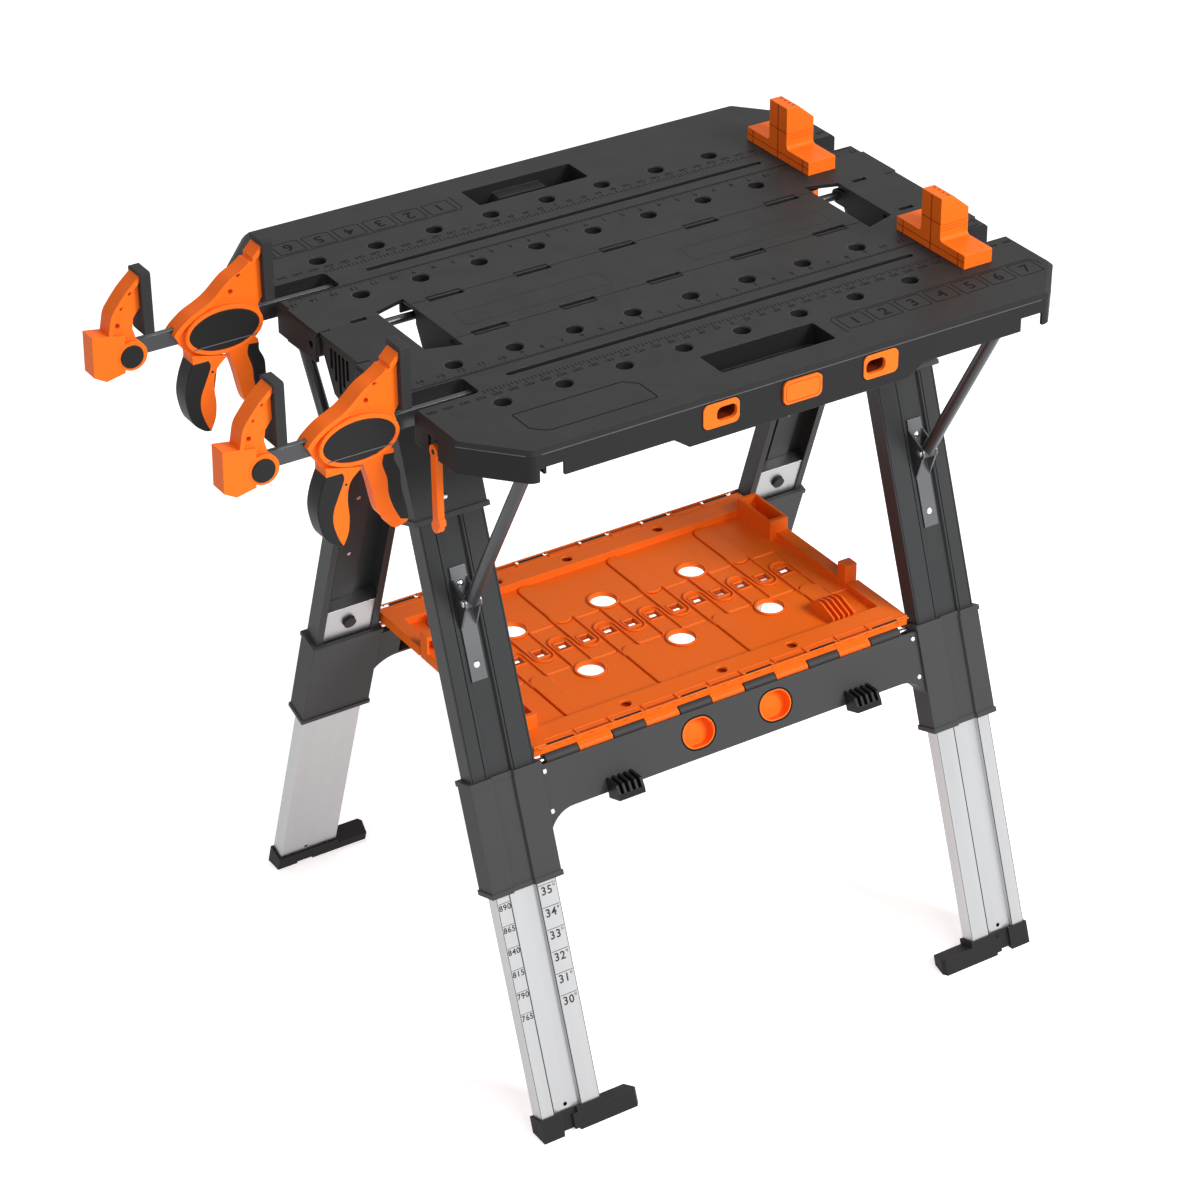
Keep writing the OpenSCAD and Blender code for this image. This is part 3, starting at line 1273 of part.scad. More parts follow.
module clamp_bar_front() color("#3f4144") on_slot("front") clamp_bar();
module clamp_end_jaw_front() color("#ff6a1e") on_slot("front") clamp_end_jaw();
module clamp_end_pad_front() color("#2a2a2a") on_slot("front") clamp_end_pad();
module clamp_body_front() color("#ff6a1e") on_slot("front") clamp_body();
module clamp_body_pad_front() color("#2a2a2a") on_slot("front") clamp_body_pad();
module clamp_lever_front() color("#ff6a1e") on_slot("front") clamp_lever();
module clamp_trigger_front() color("#ff6a1e") on_slot("front") clamp_trigger();
module clamp_bar_back() color("#3f4144") on_slot("back") clamp_bar();
module clamp_end_jaw_back() color("#ff6a1e") on_slot("back") clamp_end_jaw();
module clamp_end_pad_back() color("#2a2a2a") on_slot("back") clamp_end_pad();
module clamp_body_back() color("#ff6a1e") on_slot("back") clamp_body();
module clamp_body_pad_back() color("#2a2a2a") on_slot("back") clamp_body_pad();
module clamp_lever_back() color("#ff6a1e") on_slot("back") clamp_lever();
module clamp_trigger_back() color("#ff6a1e") on_slot("back") clamp_trigger();

// Bench dogs at the right end of each wing, pegged into one hole of each row

dog_x = (hole_n - 1) / 2 * hole_pitch;

module dog() translate([dog_x, row_mid, bench_h]) {
    x0 = -hole_d / 2;
    foot = [[-dog_l / 2, 0], [dog_l / 2, 0], [dog_l / 2, dog_foot_h], [-dog_l / 2, dog_foot_h]];
    x_plate(foot, dog_w, x0 + dog_w / 2);
    // riser with a sloping back
    translate([0, dog_riser / 2, 0]) rotate([90, 0, 0]) linear_extrude(dog_riser)
        polygon([[x0, 0], [x0, dog_h], [x0 + dog_nose_w, dog_h],
            [x0 + dog_w - dog_bevel, dog_h - dog_nose_h], [x0 + dog_w, dog_h - dog_nose_h - dog_bevel],
            [x0 + dog_w, 0]]);
    // fillets at the riser's foot
    for (s = [-1, 1]) difference() {
        y0 = s * dog_riser / 2;
        span_box([x0, min(y0, y0 + s * dog_fillet), dog_foot_h - over],
            [x0 + dog_w, max(y0, y0 + s * dog_fillet), dog_foot_h + dog_fillet]);
        translate([0, y0 + s * dog_fillet, dog_foot_h + dog_fillet])
            x_rod(dog_fillet, 2 * dog_w, x0 + dog_w / 2);
    }
    for (y = [row_in, row_out]) translate([0, y - row_mid, -dog_peg_l])
        cylinder(d = hole_d - 2 * dog_peg_gap, h = dog_peg_l + over);
}

module dog_front() color("#ff6a1e") whole() mirror([0, 1, 0]) dog();
module dog_back() color("#ff6a1e") whole() dog();

centre_deck();
end_blocks();
hinge_rods();
wing_front();
wing_back();
side_sockets_front();
side_sockets_back();
push_button_front();
push_button_back();
latch_strap_front();
latch_strap_back();
crossbar_front();
crossbar_back();
upper_legs_front();
upper_legs_back();
leg_caps_front();
leg_caps_back();
strut_brackets_front();
strut_brackets_back();
frame_pins_front();
frame_pins_back();
cord_hooks_front();
cord_hooks_back();
window_cups_front();
window_cups_back();
strut_front_left();
strut_front_right();
strut_back_left();
strut_back_right();
lower_leg_front_left();
lower_leg_front_right();
lower_leg_back_left();
lower_leg_back_right();
foot_front_left();
foot_front_right();
foot_back_left();
foot_back_right();
leg_lock_front_left();
leg_lock_front_right();
leg_lock_back_left();
leg_lock_back_right();
shelf_front();
shelf_back();
clamp_bar_front();
clamp_end_jaw_front();
clamp_end_pad_front();
clamp_body_front();
clamp_body_pad_front();
clamp_lever_front();
clamp_trigger_front();
clamp_bar_back();
clamp_end_jaw_back();
clamp_end_pad_back();
clamp_body_back();
clamp_body_pad_back();
clamp_lever_back();
clamp_trigger_back();
dog_front();
dog_back();
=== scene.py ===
"""Finishes, marks and trim of the folding workbench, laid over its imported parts.

Lengths here are in millimetres, measured from the middle of the bench's top as it
stands on the floor, with X along the top, Y across it (front at minus Y) and Z up.
The function place() turns them into the frame's metres. Most pieces are drawn for the
front side and turned about Z for the back.
"""

import math

import bpy
import numpy as np
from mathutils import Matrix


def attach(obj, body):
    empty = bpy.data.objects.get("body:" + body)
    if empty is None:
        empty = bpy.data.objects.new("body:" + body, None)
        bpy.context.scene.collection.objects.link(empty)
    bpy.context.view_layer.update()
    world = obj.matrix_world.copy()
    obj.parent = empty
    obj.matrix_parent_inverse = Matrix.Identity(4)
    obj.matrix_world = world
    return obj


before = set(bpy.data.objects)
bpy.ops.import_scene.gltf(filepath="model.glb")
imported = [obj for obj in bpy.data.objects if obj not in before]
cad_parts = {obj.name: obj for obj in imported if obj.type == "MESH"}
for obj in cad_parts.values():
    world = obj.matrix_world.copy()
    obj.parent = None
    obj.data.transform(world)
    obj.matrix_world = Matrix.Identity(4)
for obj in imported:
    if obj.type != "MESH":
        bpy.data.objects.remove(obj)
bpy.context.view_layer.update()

MIDDLE_X = 110.25        # the middle of the top lies this far along the frame's X
HALF_L, HALF_W = 393.7, 317.5
TOP_Z = 889.0
HINGE_Y, HINGE_Z = 56.0, 871.0   # a hinge rod
LEG_TILT = math.radians(19.2)
LEG_OFF = 21.07   # the rod lies this far outside the plane of the leg's face
# up the leg's face, from the floor to beside the rod
LEG_REACH = (HINGE_Z - LEG_OFF * math.sin(LEG_TILT)) / math.cos(LEG_TILT)
LEG_X, RECESS_X = 310.0, 314.0   # middle of a leg, and of its recess
ROW_IN, ROW_OUT, ROW_MID, PITCH = 101.6, 203.2, 152.4, 76.2  # dog holes; clamps at ROW_MID
BAR_Z = TOP_Z - 16.5  # middle of a clamp's bar
SIDES = (("front", 1), ("back", -1))


# -------- placing

def place(points):
    """Bench millimetres to frame metres: add the middle's X, then divide by 1000."""
    p = np.asarray(points, float).reshape(-1, 3)
    return (p + [MIDDLE_X, 0, 0]) / 1000


def turned(points, turn):
    """The point itself for the front (turn 1), or (-x, -y, z) for the back (turn -1)."""
    return np.asarray(points, float).reshape(-1, 3) * [turn, turn, 1]


def on_leg(points, turn):
    """Leg frame (x along the bench, y out of the leg's face, s up the leg) to the bench.

    The leg leans by the tilt t about the hinge rod, so with v = s - reach and
    u = y - offset a point lies u cos t - v sin t out from the rod and
    u sin t + v cos t above it. The front is (x, -out, z), the back (-x, out, z);
    x runs from left to right for one who faces that side.
    """
    p = np.asarray(points, float).reshape(-1, 3)
    u, v = p[:, 1] - LEG_OFF, p[:, 2] - LEG_REACH
    out = HINGE_Y + u * math.cos(LEG_TILT) - v * math.sin(LEG_TILT)
    z = HINGE_Z + u * math.sin(LEG_TILT) + v * math.cos(LEG_TILT)
    return np.stack([turn * p[:, 0], -turn * out, z], 1)


def on_clamp(points, turn):
    """Clamp frame (x outwards from the wing's end, y across, z up from the bar) to the bench."""
    p = np.asarray(points, float).reshape(-1, 3)
    return np.stack([-HALF_L - p[:, 0], p[:, 1] - turn * ROW_MID, BAR_Z + p[:, 2]], 1)


# -------- meshes

def mesh_from(name, verts, faces):
    """A mesh from an array of corners in frame metres and a list of faces."""
    mesh = bpy.data.meshes.new(name)
    mesh.from_pydata(np.asarray(verts, float).tolist(), [], faces)
    mesh.update()
    return mesh


def in_scene(name, data):
    """A new object of that data, linked to the scene."""
    obj = bpy.data.objects.new(name, data)
    bpy.context.scene.collection.objects.link(obj)
    return obj


def piece(name, verts, faces, body, material):
    """Puts a mesh into the scene as a piece that rides on a body."""
    mesh = mesh_from(name, verts, faces)
    mesh.materials.append(material)
    obj = in_scene(name, mesh)
    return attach(obj, body)


def joined(parts):
    """Several (corners, faces) pairs as one pair, the face numbers moved along."""
    verts, faces, n = [], [], 0
    for v, f in parts:
        v = np.asarray(v, float).reshape(-1, 3)
        verts.append(v)
        faces.extend([tuple(i + n for i in face) for face in f])
        n += len(v)
    return np.concatenate(verts), faces


def ring_faces(n, rows, closed_rows=False):
    """Quads between rows of n corners each, every row closed on itself."""
    last = rows if closed_rows else rows - 1
    return [(r * n + i, r * n + (i + 1) % n, ((r + 1) % rows) * n + (i + 1) % n,
             ((r + 1) % rows) * n + i) for r in range(last) for i in range(n)]


def level(outline, z):
    """An outline's corners at the height z."""
    o = np.asarray(outline, float)
    return np.column_stack([o, np.full(len(o), z)])


def stacked(rows):
    """A closed skin over rows of n corners each, with a flat face on the first and last."""
    n, last = len(rows[0]), len(rows[0]) * (len(rows) - 1)
    ends = [tuple(range(last, last + n)), tuple(range(n - 1, -1, -1))]
    return np.concatenate(rows), ring_faces(n, len(rows)) + ends


def slab(outline, low, high):
    """A flat outline (anticlockwise in x and y) given a thickness from low to high."""
    return stacked([level(outline, low), level(outline, high)])


def frame_slab(outer, inner, low, high):
    """The strip between two outlines of the same count, from low to high."""
    rows = [level(outer, low), level(outer, high), level(inner, high), level(inner, low)]
    return np.concatenate(rows), ring_faces(len(rows[0]), 4, closed_rows=True)


def crowned(outline, low, high, crown, rings=4):
    """A plate with a rounded brim: ring k is the outline drawn in by crown (1 - cos a)
    and raised by crown sin a towards its middle, for a from 0 to a quarter turn."""
    return stacked([level(outline, low)] + [
        level(inset(outline, crown * (1 - math.cos(a))), high - crown + crown * math.sin(a))
        for a in (math.pi / 2 * k / rings for k in range(rings + 1))])


SHARPEST = 0.35          # least share of a corner's normal, so that sharp corners don't run out


def inset(outline, d):
    """Every corner moved by d to the inner side, along the mean of its two edges' normals."""
    o = np.asarray(outline, float)
    e = np.roll(o, -1, 0) - o
    e /= np.linalg.norm(e, axis=1)[:, None]
    normal = np.column_stack([-e[:, 1], e[:, 0]])
    both = normal + np.roll(normal, 1, 0)
    both /= np.linalg.norm(both, axis=1)[:, None]
    share = np.maximum(np.sum(both * normal, 1), SHARPEST)[:, None]
    return o + both * d / share


def round_box(x, y, w, h, r, n=6):
    """Outline of a w by h rectangle about (x, y) whose corners are quarter circles of r."""
    a = np.concatenate([np.linspace(k * math.pi / 2, (k + 1) * math.pi / 2, n) for k in range(4)])
    cx = np.repeat([1, -1, -1, 1], n) * (w / 2 - r)
    cy = np.repeat([1, 1, -1, -1], n) * (h / 2 - r)
    return np.column_stack([x + cx + r * np.cos(a), y + cy + r * np.sin(a)])


def oval(x, y, w, h, n):
    """Outline of n corners (x + w/2 cos a, y + h/2 sin a) over one turn."""
    a = np.linspace(0, 2 * math.pi, n, endpoint=False)
    return np.column_stack([x + w / 2 * np.cos(a), y + h / 2 * np.sin(a)])


def curve_through(points, n=6):
    """A smooth curve through the points: between b and c it is the cubic whose slopes at
    its ends are half of c - a and half of d - b, with a and d the neighbours."""
    p = np.asarray(points, float)
    a = np.concatenate([p[:1], p[:-2]])[:, None]
    b, c = p[:-1][:, None], p[1:][:, None]
    d = np.concatenate([p[2:], p[-1:]])[:, None]
    t = np.linspace(0, 1, n, endpoint=False)[None, :, None]
    q = (b + (c - a) * t / 2 + (2 * a - 5 * b + 4 * c - d) * t ** 2 / 2
         + (3 * b - a - 3 * c + d) * t ** 3 / 2)
    return np.concatenate([q.reshape(-1, 2), p[-1:]])


def strip_along(points, width):
    """Outline of a line of the given width drawn along an open run of points."""
    p = np.asarray(points, float)
    e = np.gradient(p, axis=0)
    e /= np.linalg.norm(e, axis=1)[:, None]
    side = np.column_stack([-e[:, 1], e[:, 0]]) * width / 2
    return np.concatenate([p - side, (p + side)[::-1]])


def bars(rows):
    """Thin bars, one for each row (x0, y0, z0, x1, y1, z1) of two opposite corners."""
    r = np.asarray(rows, float)
    v = np.stack([r[:, [0, 3, 3, 0, 0, 3, 3, 0]], r[:, [1, 1, 4, 4, 1, 1, 4, 4]],
                  r[:, [2, 2, 2, 2, 5, 5, 5, 5]]], 2).reshape(-1, 3)
    f = np.array([(0, 1, 5, 4), (1, 2, 6, 5), (2, 3, 7, 6), (3, 0, 4, 7), (4, 5, 6, 7),
                  (3, 2, 1, 0)])
    return v, (f[None] + 8 * np.arange(len(r))[:, None, None]).reshape(-1, 4).tolist()


def boxes(rects, low, high):
    """Thin bars, one for each row (x0, y0, x1, y1), all from low to high."""
    r = np.asarray(rects, float)
    n = len(r)
    return bars(np.column_stack([r[:, :2], np.full(n, low), r[:, 2:], np.full(n, high)]))


def rounded_slab(outline, low, high, crown, rings=3):
    """A slab with both brims rounded: the ring at angle a is drawn in by crown (1 - sin a)
    and lies crown (1 - cos a) inside its face, for a from 0 to a quarter turn."""
    turns = np.linspace(0, math.pi / 2, rings + 1)
    levels = [(a, low + crown * (1 - math.cos(a))) for a in turns]
    levels += [(a, high - crown * (1 - math.cos(a))) for a in turns[::-1]]
    return stacked([level(inset(outline, crown * (1 - math.sin(a))), z) for a, z in levels])


def on_skirt(part, turn):
    """A flat part (x along the bench, y as height, z out of the skirt) stood on a wing's skirt."""
    v, f = part
    v = np.asarray(v, float)
    return turned(np.column_stack([v[:, 0], -HALF_W - v[:, 2], v[:, 1]]), turn), f


def on_leg_face(part, turn):
    """A flat part (x along the bench, y up the leg, z out of its face) laid on a leg."""
    v, f = part
    v = np.asarray(v, float)
    return on_leg(v[:, [0, 2, 1]], turn), f


DIGIT_HALF_T = 0.01      # a drawn digit's half thickness, before it is sized
DIGIT_GROWN = 0.02       # how much its strokes are widened
DIGIT_H = 0.69           # its height
DIGIT_STEP = 0.82        # from one digit to the next, as a share of the height


def digit_shapes():
    """The ten digits as thin closed meshes, one unit high, standing on y = 0 and centred on x."""
    shapes = []
    for d in range(10):
        words = bpy.data.curves.new(f"digit_{d}", "FONT")
        words.body, words.align_x = str(d), "CENTER"
        words.extrude, words.resolution_u, words.offset = DIGIT_HALF_T, 3, DIGIT_GROWN
        obj = in_scene(f"digit_{d}", words)
        bpy.context.view_layer.update()
        graph = bpy.context.evaluated_depsgraph_get()
        mesh = bpy.data.meshes.new_from_object(obj.evaluated_get(graph))
        v = np.zeros(len(mesh.vertices) * 3)
        mesh.vertices.foreach_get("co", v)
        v = v.reshape(-1, 3)
        v[:, :2] /= DIGIT_H
        shapes.append((v, [tuple(p.vertices) for p in mesh.polygons]))
        bpy.data.objects.remove(obj)
        bpy.data.curves.remove(words)
        bpy.data.meshes.remove(mesh)
    return shapes


DIGITS = digit_shapes()


def number(value, x, y, height, low, thick):
    """A number of the given height centred on x with its foot on y, thick above low."""
    figures = [int(c) for c in str(value)]
    step = height * DIGIT_STEP
    parts = []
    for k, d in enumerate(figures):
        v, f = DIGITS[d]
        middle = x + (k - (len(figures) - 1) / 2) * step
        v = v * [height, height, thick / (2 * DIGIT_HALF_T)] + [middle, y, low + thick / 2]
        parts.append((v, f))
    return joined(parts)


# -------- shader groups

class Net:
    """Small helper that adds nodes to a tree and joins their sockets."""

    def __init__(self, tree):
        """Keeps the tree that the nodes go into."""
        self.tree = tree

    def add(self, kind, **settings):
        """A new shader node of that kind, with its settings."""
        node = self.tree.nodes.new("ShaderNode" + kind)
        for key, value in settings.items():
            setattr(node, key, value)
        return node

    def link(self, out, into):
        """Joins an output to an input."""
        self.tree.links.new(out, into)

    def feed(self, value, socket):
        """Sets an input to a number or a colour, or joins an output to it."""
        if isinstance(value, tuple):
            socket.default_value = (*value, 1)
        elif isinstance(value, (int, float)):
            socket.default_value = value
        else:
            self.link(value, socket)

    def math(self, op, a, b, c=None, clamp=False):
        """The operation on a, b and c, kept between nought and one where clamp is set."""
        node = self.add("Math", operation=op, use_clamp=clamp)
        for socket, value in zip(node.inputs, (a, b, c)):
            if value is not None:
                self.feed(value, socket)
        return node.outputs[0]

    def noise(self, vector, scale, detail, roughness):
        """Noise at a position: octaves up to detail, each roughness times the one before."""
        node = self.add("TexNoise")
        for label, value in (("Vector", vector), ("Scale", scale), ("Detail", detail),
                             ("Roughness", roughness)):
            self.feed(value, node.inputs[label])
        return node.outputs["Fac"]

    def smooth_step(self, value, low, high):
        """3 t^2 - 2 t^3, where t is how far the value lies from low to high."""
        node = self.add("MapRange", interpolation_type="SMOOTHSTEP")
        for label, given in (("Value", value), ("From Min", low), ("From Max", high)):
            self.feed(given, node.inputs[label])
        return node.outputs[0]

    def mix(self, share, a, b):
        """The colour a (1 - share) + b share."""
        node = self.add("Mix", data_type="RGBA")
        for k, value in ((0, share), (6, a), (7, b)):
            self.feed(value, node.inputs[k])
        return node.outputs[2]


def group(name, numbers, **gives):
    """A new shader group that takes a position and the numbers, and gives outputs of the
    named kinds: its helper, and the sockets to read from and to write to."""
    tree = bpy.data.node_groups.new(name, "ShaderNodeTree")
    new = tree.interface.new_socket
    new("Position", in_out="INPUT", socket_type="NodeSocketVector")
    for label, value in numbers.items():
        new(label, in_out="INPUT", socket_type="NodeSocketFloat").default_value = value
    for label, kind in gives.items():
        new(label, in_out="OUTPUT", socket_type="NodeSocket" + kind)
    return (Net(tree), tree.nodes.new("NodeGroupInput").outputs,
            tree.nodes.new("NodeGroupOutput").inputs)


def make_worn_edge():
    """How far the surface's rounded normal turns from its flat one, near an edge.

    Mask = smooth step of 1 - (flat normal . rounded normal), broken up by noise. It paints edges
    lighter, partly as wear and partly as a painted highlight.
    """
    net, take, give = group("worn_highlit_edge", {"Radius": 0.001, "Break": 0.5}, Mask="Float",
                            Normal="Vector")
    bevel = net.add("Bevel", samples=6)
    net.link(take["Radius"], bevel.inputs["Radius"])
    flat = net.add("NewGeometry")
    dot = net.add("VectorMath", operation="DOT_PRODUCT")
    net.link(bevel.outputs[0], dot.inputs[0])
    net.link(flat.outputs["True Normal"], dot.inputs[1])
    turn = net.math("SUBTRACT", 1.0, dot.outputs["Value"])
    ramp = net.smooth_step(turn, 0.035, 0.22)
    rough = net.noise(take["Position"], 140.0, 3.0, 0.6)
    keep = net.math("MULTIPLY_ADD", rough, take["Break"],
                    net.math("SUBTRACT", 1.0, take["Break"]))
    net.link(net.math("MULTIPLY", ramp, keep, clamp=True), give["Mask"])
    net.link(bevel.outputs[0], give["Normal"])
    return net.tree


def make_moulded_grain():
    """Fine pebbled skin of a moulding: two noises, one at the grain's size and one five
    times finer, and a slow third one for the tone."""
    net, take, give = group("moulded_grain", {"Grains per metre": 900.0}, Height="Float",
                            Tone="Float")
    coarse = net.noise(take["Position"], take["Grains per metre"], 2.0, 0.55)
    fine = net.noise(take["Position"],
                     net.math("MULTIPLY", take["Grains per metre"], 5.0), 1.0, 0.5)
    net.link(net.math("MULTIPLY_ADD", fine, 0.35, coarse), give["Height"])
    slow = net.noise(take["Position"], 9.0, 4.0, 0.6)
    net.link(net.math("MULTIPLY_ADD", coarse, 0.35, net.math("MULTIPLY", slow, 0.65)),
             give["Tone"])
    return net.tree


ALONG_SHARE = 0.012      # the hairlines' frequency along the piece, as a share of that across it


def make_drawn_lines():
    """Hairlines along one axis: noise of a position that is squeezed along Z."""
    net, take, give = group("drawn_lines", {"Lines per metre": 1500.0}, Height="Float",
                            Tone="Float")
    squeeze = net.add("VectorMath", operation="MULTIPLY")
    net.link(take["Position"], squeeze.inputs[0])
    squeeze.inputs[1].default_value = (1, 1, ALONG_SHARE)
    lines = net.noise(squeeze.outputs[0], take["Lines per metre"], 3.0, 0.7)
    broad = net.noise(squeeze.outputs[0], 90.0, 2.0, 0.5)
    net.link(lines, give["Height"])
    net.link(net.math("MULTIPLY_ADD", lines, 0.5, net.math("MULTIPLY", broad, 0.5)),
             give["Tone"])
    return net.tree


def make_settled_dust():
    """A thin film on faces that look up: smooth step of the flat normal's Z, times noise."""
    net, take, give = group("settled_dust", {}, Mask="Float")
    flat = net.add("NewGeometry")
    parts = net.add("SeparateXYZ")
    net.link(flat.outputs["True Normal"], parts.inputs[0])
    up = net.smooth_step(parts.outputs["Z"], 0.5, 1.0)
    spots = net.noise(take["Position"], 26.0, 5.0, 0.62)
    net.link(net.math("MULTIPLY", up, spots, clamp=True), give["Mask"])
    return net.tree


WORN_HIGHLIT_EDGE = make_worn_edge()
MOULDED_GRAIN = make_moulded_grain()
DRAWN_LINES = make_drawn_lines()
SETTLED_DUST = make_settled_dust()


# -------- materials

class Finish:
    """A material with its Principled shader and a position turned by a Mapping node."""

    def __init__(self, name, turn=(0, 0, 0)):
        """Position = the object's own coordinates turned by the three angles."""
        self.material = bpy.data.materials.new(name)
        self.material.use_nodes = True
        self.net = Net(self.material.node_tree)
        self.shader = self.material.node_tree.nodes["Principled BSDF"]
        where = self.net.add("TexCoord")
        mapping = self.net.add("Mapping")
        mapping.inputs["Rotation"].default_value = turn
        self.net.link(where.outputs["Object"], mapping.inputs["Vector"])
        self.position = mapping.outputs[0]

    def use(self, tree, **values):
        """A shader group at the position; an underscore in a label stands for a space."""
        node = self.net.add("Group")
        node.node_tree = tree
        self.net.link(self.position, node.inputs["Position"])
        for label, value in values.items():
            node.inputs[label.replace("_", " ")].default_value = value
        return node

    def set(self, **values):
        """Sets inputs of the shader, named as in use()."""
        for label, value in values.items():
            self.shader.inputs[label.replace("_", " ")].default_value = value

    def bump(self, height, normal, strength, distance):
        """Tilts the normal by strength times the slope of height times distance."""
        node = self.net.add("Bump")
        for label, value in (("Height", height), ("Normal", normal), ("Strength", strength),
                             ("Distance", distance)):
            self.net.feed(value, node.inputs[label])
        self.net.link(node.outputs[0], self.shader.inputs["Normal"])

    def toned(self, tone, colour, dark, light, worn_highlit, wear_and_highlight, edge):
        """From colour times dark to colour times light by the tone, then to the edge's
        colour by the edge mask times its weight: edges lighter by wear and by a painted highlight."""
        base = self.net.mix(tone.outputs["Tone"], scaled(colour, dark), scaled(colour, light))
        return self.net.mix(self.net.math("MULTIPLY", worn_highlit.outputs["Mask"], wear_and_highlight), base, edge)

    def paint(self, colour, roughness):
        """Joins a colour and a roughness to the shader."""
        self.net.link(colour, self.shader.inputs["Base Color"])
        self.net.link(roughness, self.shader.inputs["Roughness"])


def scaled(colour, k):
    """A colour times k, no channel above one."""
    return tuple(min(c * k, 1.0) for c in colour)


DUST = (0.25, 0.24, 0.22)
METAL_EDGE = 0.0008      # width in metres of the lighter edge on metal: rubbed, and partly a painted highlight


def moulding(name, colour, edge, rough, grains=900.0, depth=0.00005, wear_and_highlight=0.5, radius=0.0012,
             dust=0.0, level=0.12):
    """Moulded plastic: grain bump, slow change of tone, edges lighter by rubbing and by a painted
    highlight, a little dust.
    """
    f = Finish(name)
    grain = f.use(MOULDED_GRAIN, Grains_per_metre=grains)
    worn_highlit = f.use(WORN_HIGHLIT_EDGE, Radius=radius, Break=0.45)
    net = f.net
    base = f.toned(grain, colour, 0.88, 1.12, worn_highlit, wear_and_highlight, edge)
    if dust:
        film = f.use(SETTLED_DUST)
        base = net.mix(net.math("MULTIPLY", film.outputs["Mask"], dust), base, DUST)
    r = net.math("MULTIPLY_ADD", grain.outputs["Tone"], 0.16, rough - 0.08)
    r = net.math("MULTIPLY_ADD", worn_highlit.outputs["Mask"], -0.1, r, clamp=True)
    f.paint(base, r)
    f.bump(grain.outputs["Height"], worn_highlit.outputs["Normal"], 0.6, depth)
    f.set(Specular_IOR_Level=level)
    return f.material


def coated_metal(name, colour, edge, rough, metallic=0.0, wear_and_highlight=0.4, coat=0.0, level=0.5):
    """Painted or blackened steel: soft orange-peel bump, light edges from wear and a painted
    highlight, an optional clear coat.
    """
    f = Finish(name)
    grain = f.use(MOULDED_GRAIN, Grains_per_metre=420.0)
    worn_highlit = f.use(WORN_HIGHLIT_EDGE, Radius=METAL_EDGE, Break=0.55)
    r = f.net.math("MULTIPLY_ADD", grain.outputs["Tone"], 0.14, rough - 0.07)
    f.paint(f.toned(grain, colour, 0.9, 1.1, worn_highlit, wear_and_highlight, edge), r)
    f.bump(grain.outputs["Height"], worn_highlit.outputs["Normal"], 0.35, 0.00003)
    f.set(Metallic=metallic, Coat_Weight=coat, Coat_Roughness=0.25, Specular_IOR_Level=level)
    return f.material


def drawn_metal(name, colour, edge, rough, turn=(0, 0, 0), lines=1500.0):
    """Bare metal with hairlines along the piece, its roughness and tone streaked alike, and its
    edges lighter from wear and a painted highlight.
    """
    f = Finish(name, turn)
    lines_on = f.use(DRAWN_LINES, Lines_per_metre=lines)
    worn_highlit = f.use(WORN_HIGHLIT_EDGE, Radius=METAL_EDGE, Break=0.3)
    r = f.net.math("MULTIPLY_ADD", lines_on.outputs["Tone"], 0.22, rough - 0.11)
    f.paint(f.toned(lines_on, colour, 0.9, 1.08, worn_highlit, 0.5, edge), r)
    f.bump(lines_on.outputs["Height"], worn_highlit.outputs["Normal"], 0.25, 0.00002)
    f.set(Metallic=1.0)
    return f.material


def ribbed_rubber(name, colour):
    """Soft rubber: a fine matt grain with shallow level ridges, and edges lighter from wear and a
    painted highlight.
    """
    f = Finish(name)
    grain = f.use(MOULDED_GRAIN, Grains_per_metre=1300.0)
    worn_highlit = f.use(WORN_HIGHLIT_EDGE, Radius=0.0015, Break=0.2)
    net = f.net
    wave = net.add("TexWave", wave_type="BANDS", bands_direction="Z", wave_profile="SIN")
    wave.inputs["Scale"].default_value = 55.0
    net.link(f.position, wave.inputs["Vector"])
    height = net.math("MULTIPLY_ADD", grain.outputs["Height"], 0.25, wave.outputs["Fac"])
    base = f.toned(grain, colour, 0.85, 1.15, worn_highlit, 0.3, scaled(colour, 2.4))
    f.paint(base, net.math("MULTIPLY_ADD", grain.outputs["Tone"], 0.2, 0.68))
    f.bump(height, worn_highlit.outputs["Normal"], 0.35, 0.0003)
    f.set(Specular_IOR_Level=0.3)
    return f.material


BLACK = (0.014, 0.014, 0.0144)
ORANGE = (1.0, 0.155, 0.011)
# lighter colour of the edges: wear, and partly a painted highlight
PALE_EDGE = (0.09, 0.09, 0.09)

top_plastic = moulding("top_plastic", BLACK, (0.11, 0.11, 0.11), rough=0.5, grains=800.0,
                       wear_and_highlight=0.6, radius=0.0014, dust=0.07)
beam_plastic = moulding("beam_plastic", BLACK, PALE_EDGE, rough=0.52, wear_and_highlight=0.5, dust=0.07)
frame_plastic = moulding("frame_plastic", scaled(BLACK, 3.7), (0.12, 0.12, 0.12), rough=0.5,
                         wear_and_highlight=0.45)
boot_plastic = moulding("boot_plastic", scaled(BLACK, 1.4), PALE_EDGE, rough=0.6, wear_and_highlight=0.4)
inlay_plastic = moulding("inlay_plastic", (0.014, 0.014, 0.0145), PALE_EDGE, rough=0.42,
                         grains=1400.0, wear_and_highlight=0.5)
orange_plastic = moulding("orange_plastic", ORANGE, (1.0, 0.34, 0.09), rough=0.42,
                          grains=1100.0, depth=0.00003, wear_and_highlight=0.5, level=0.1)
leg_paint = coated_metal("leg_paint", (0.034, 0.035, 0.036), (0.14, 0.14, 0.15), 0.42,
                         coat=0.03, level=0.15)
blackened_steel = coated_metal("blackened_steel", (0.05, 0.052, 0.056), (0.3, 0.3, 0.31), 0.3,
                               metallic=0.6, wear_and_highlight=0.5)
bracket_steel = coated_metal("bracket_steel", (0.13, 0.133, 0.14), (0.4, 0.4, 0.4), 0.34,
                             metallic=0.8)
rivet_steel = drawn_metal("rivet_steel", (0.66, 0.67, 0.68), (0.85, 0.85, 0.85), 0.26,
                          lines=700.0)
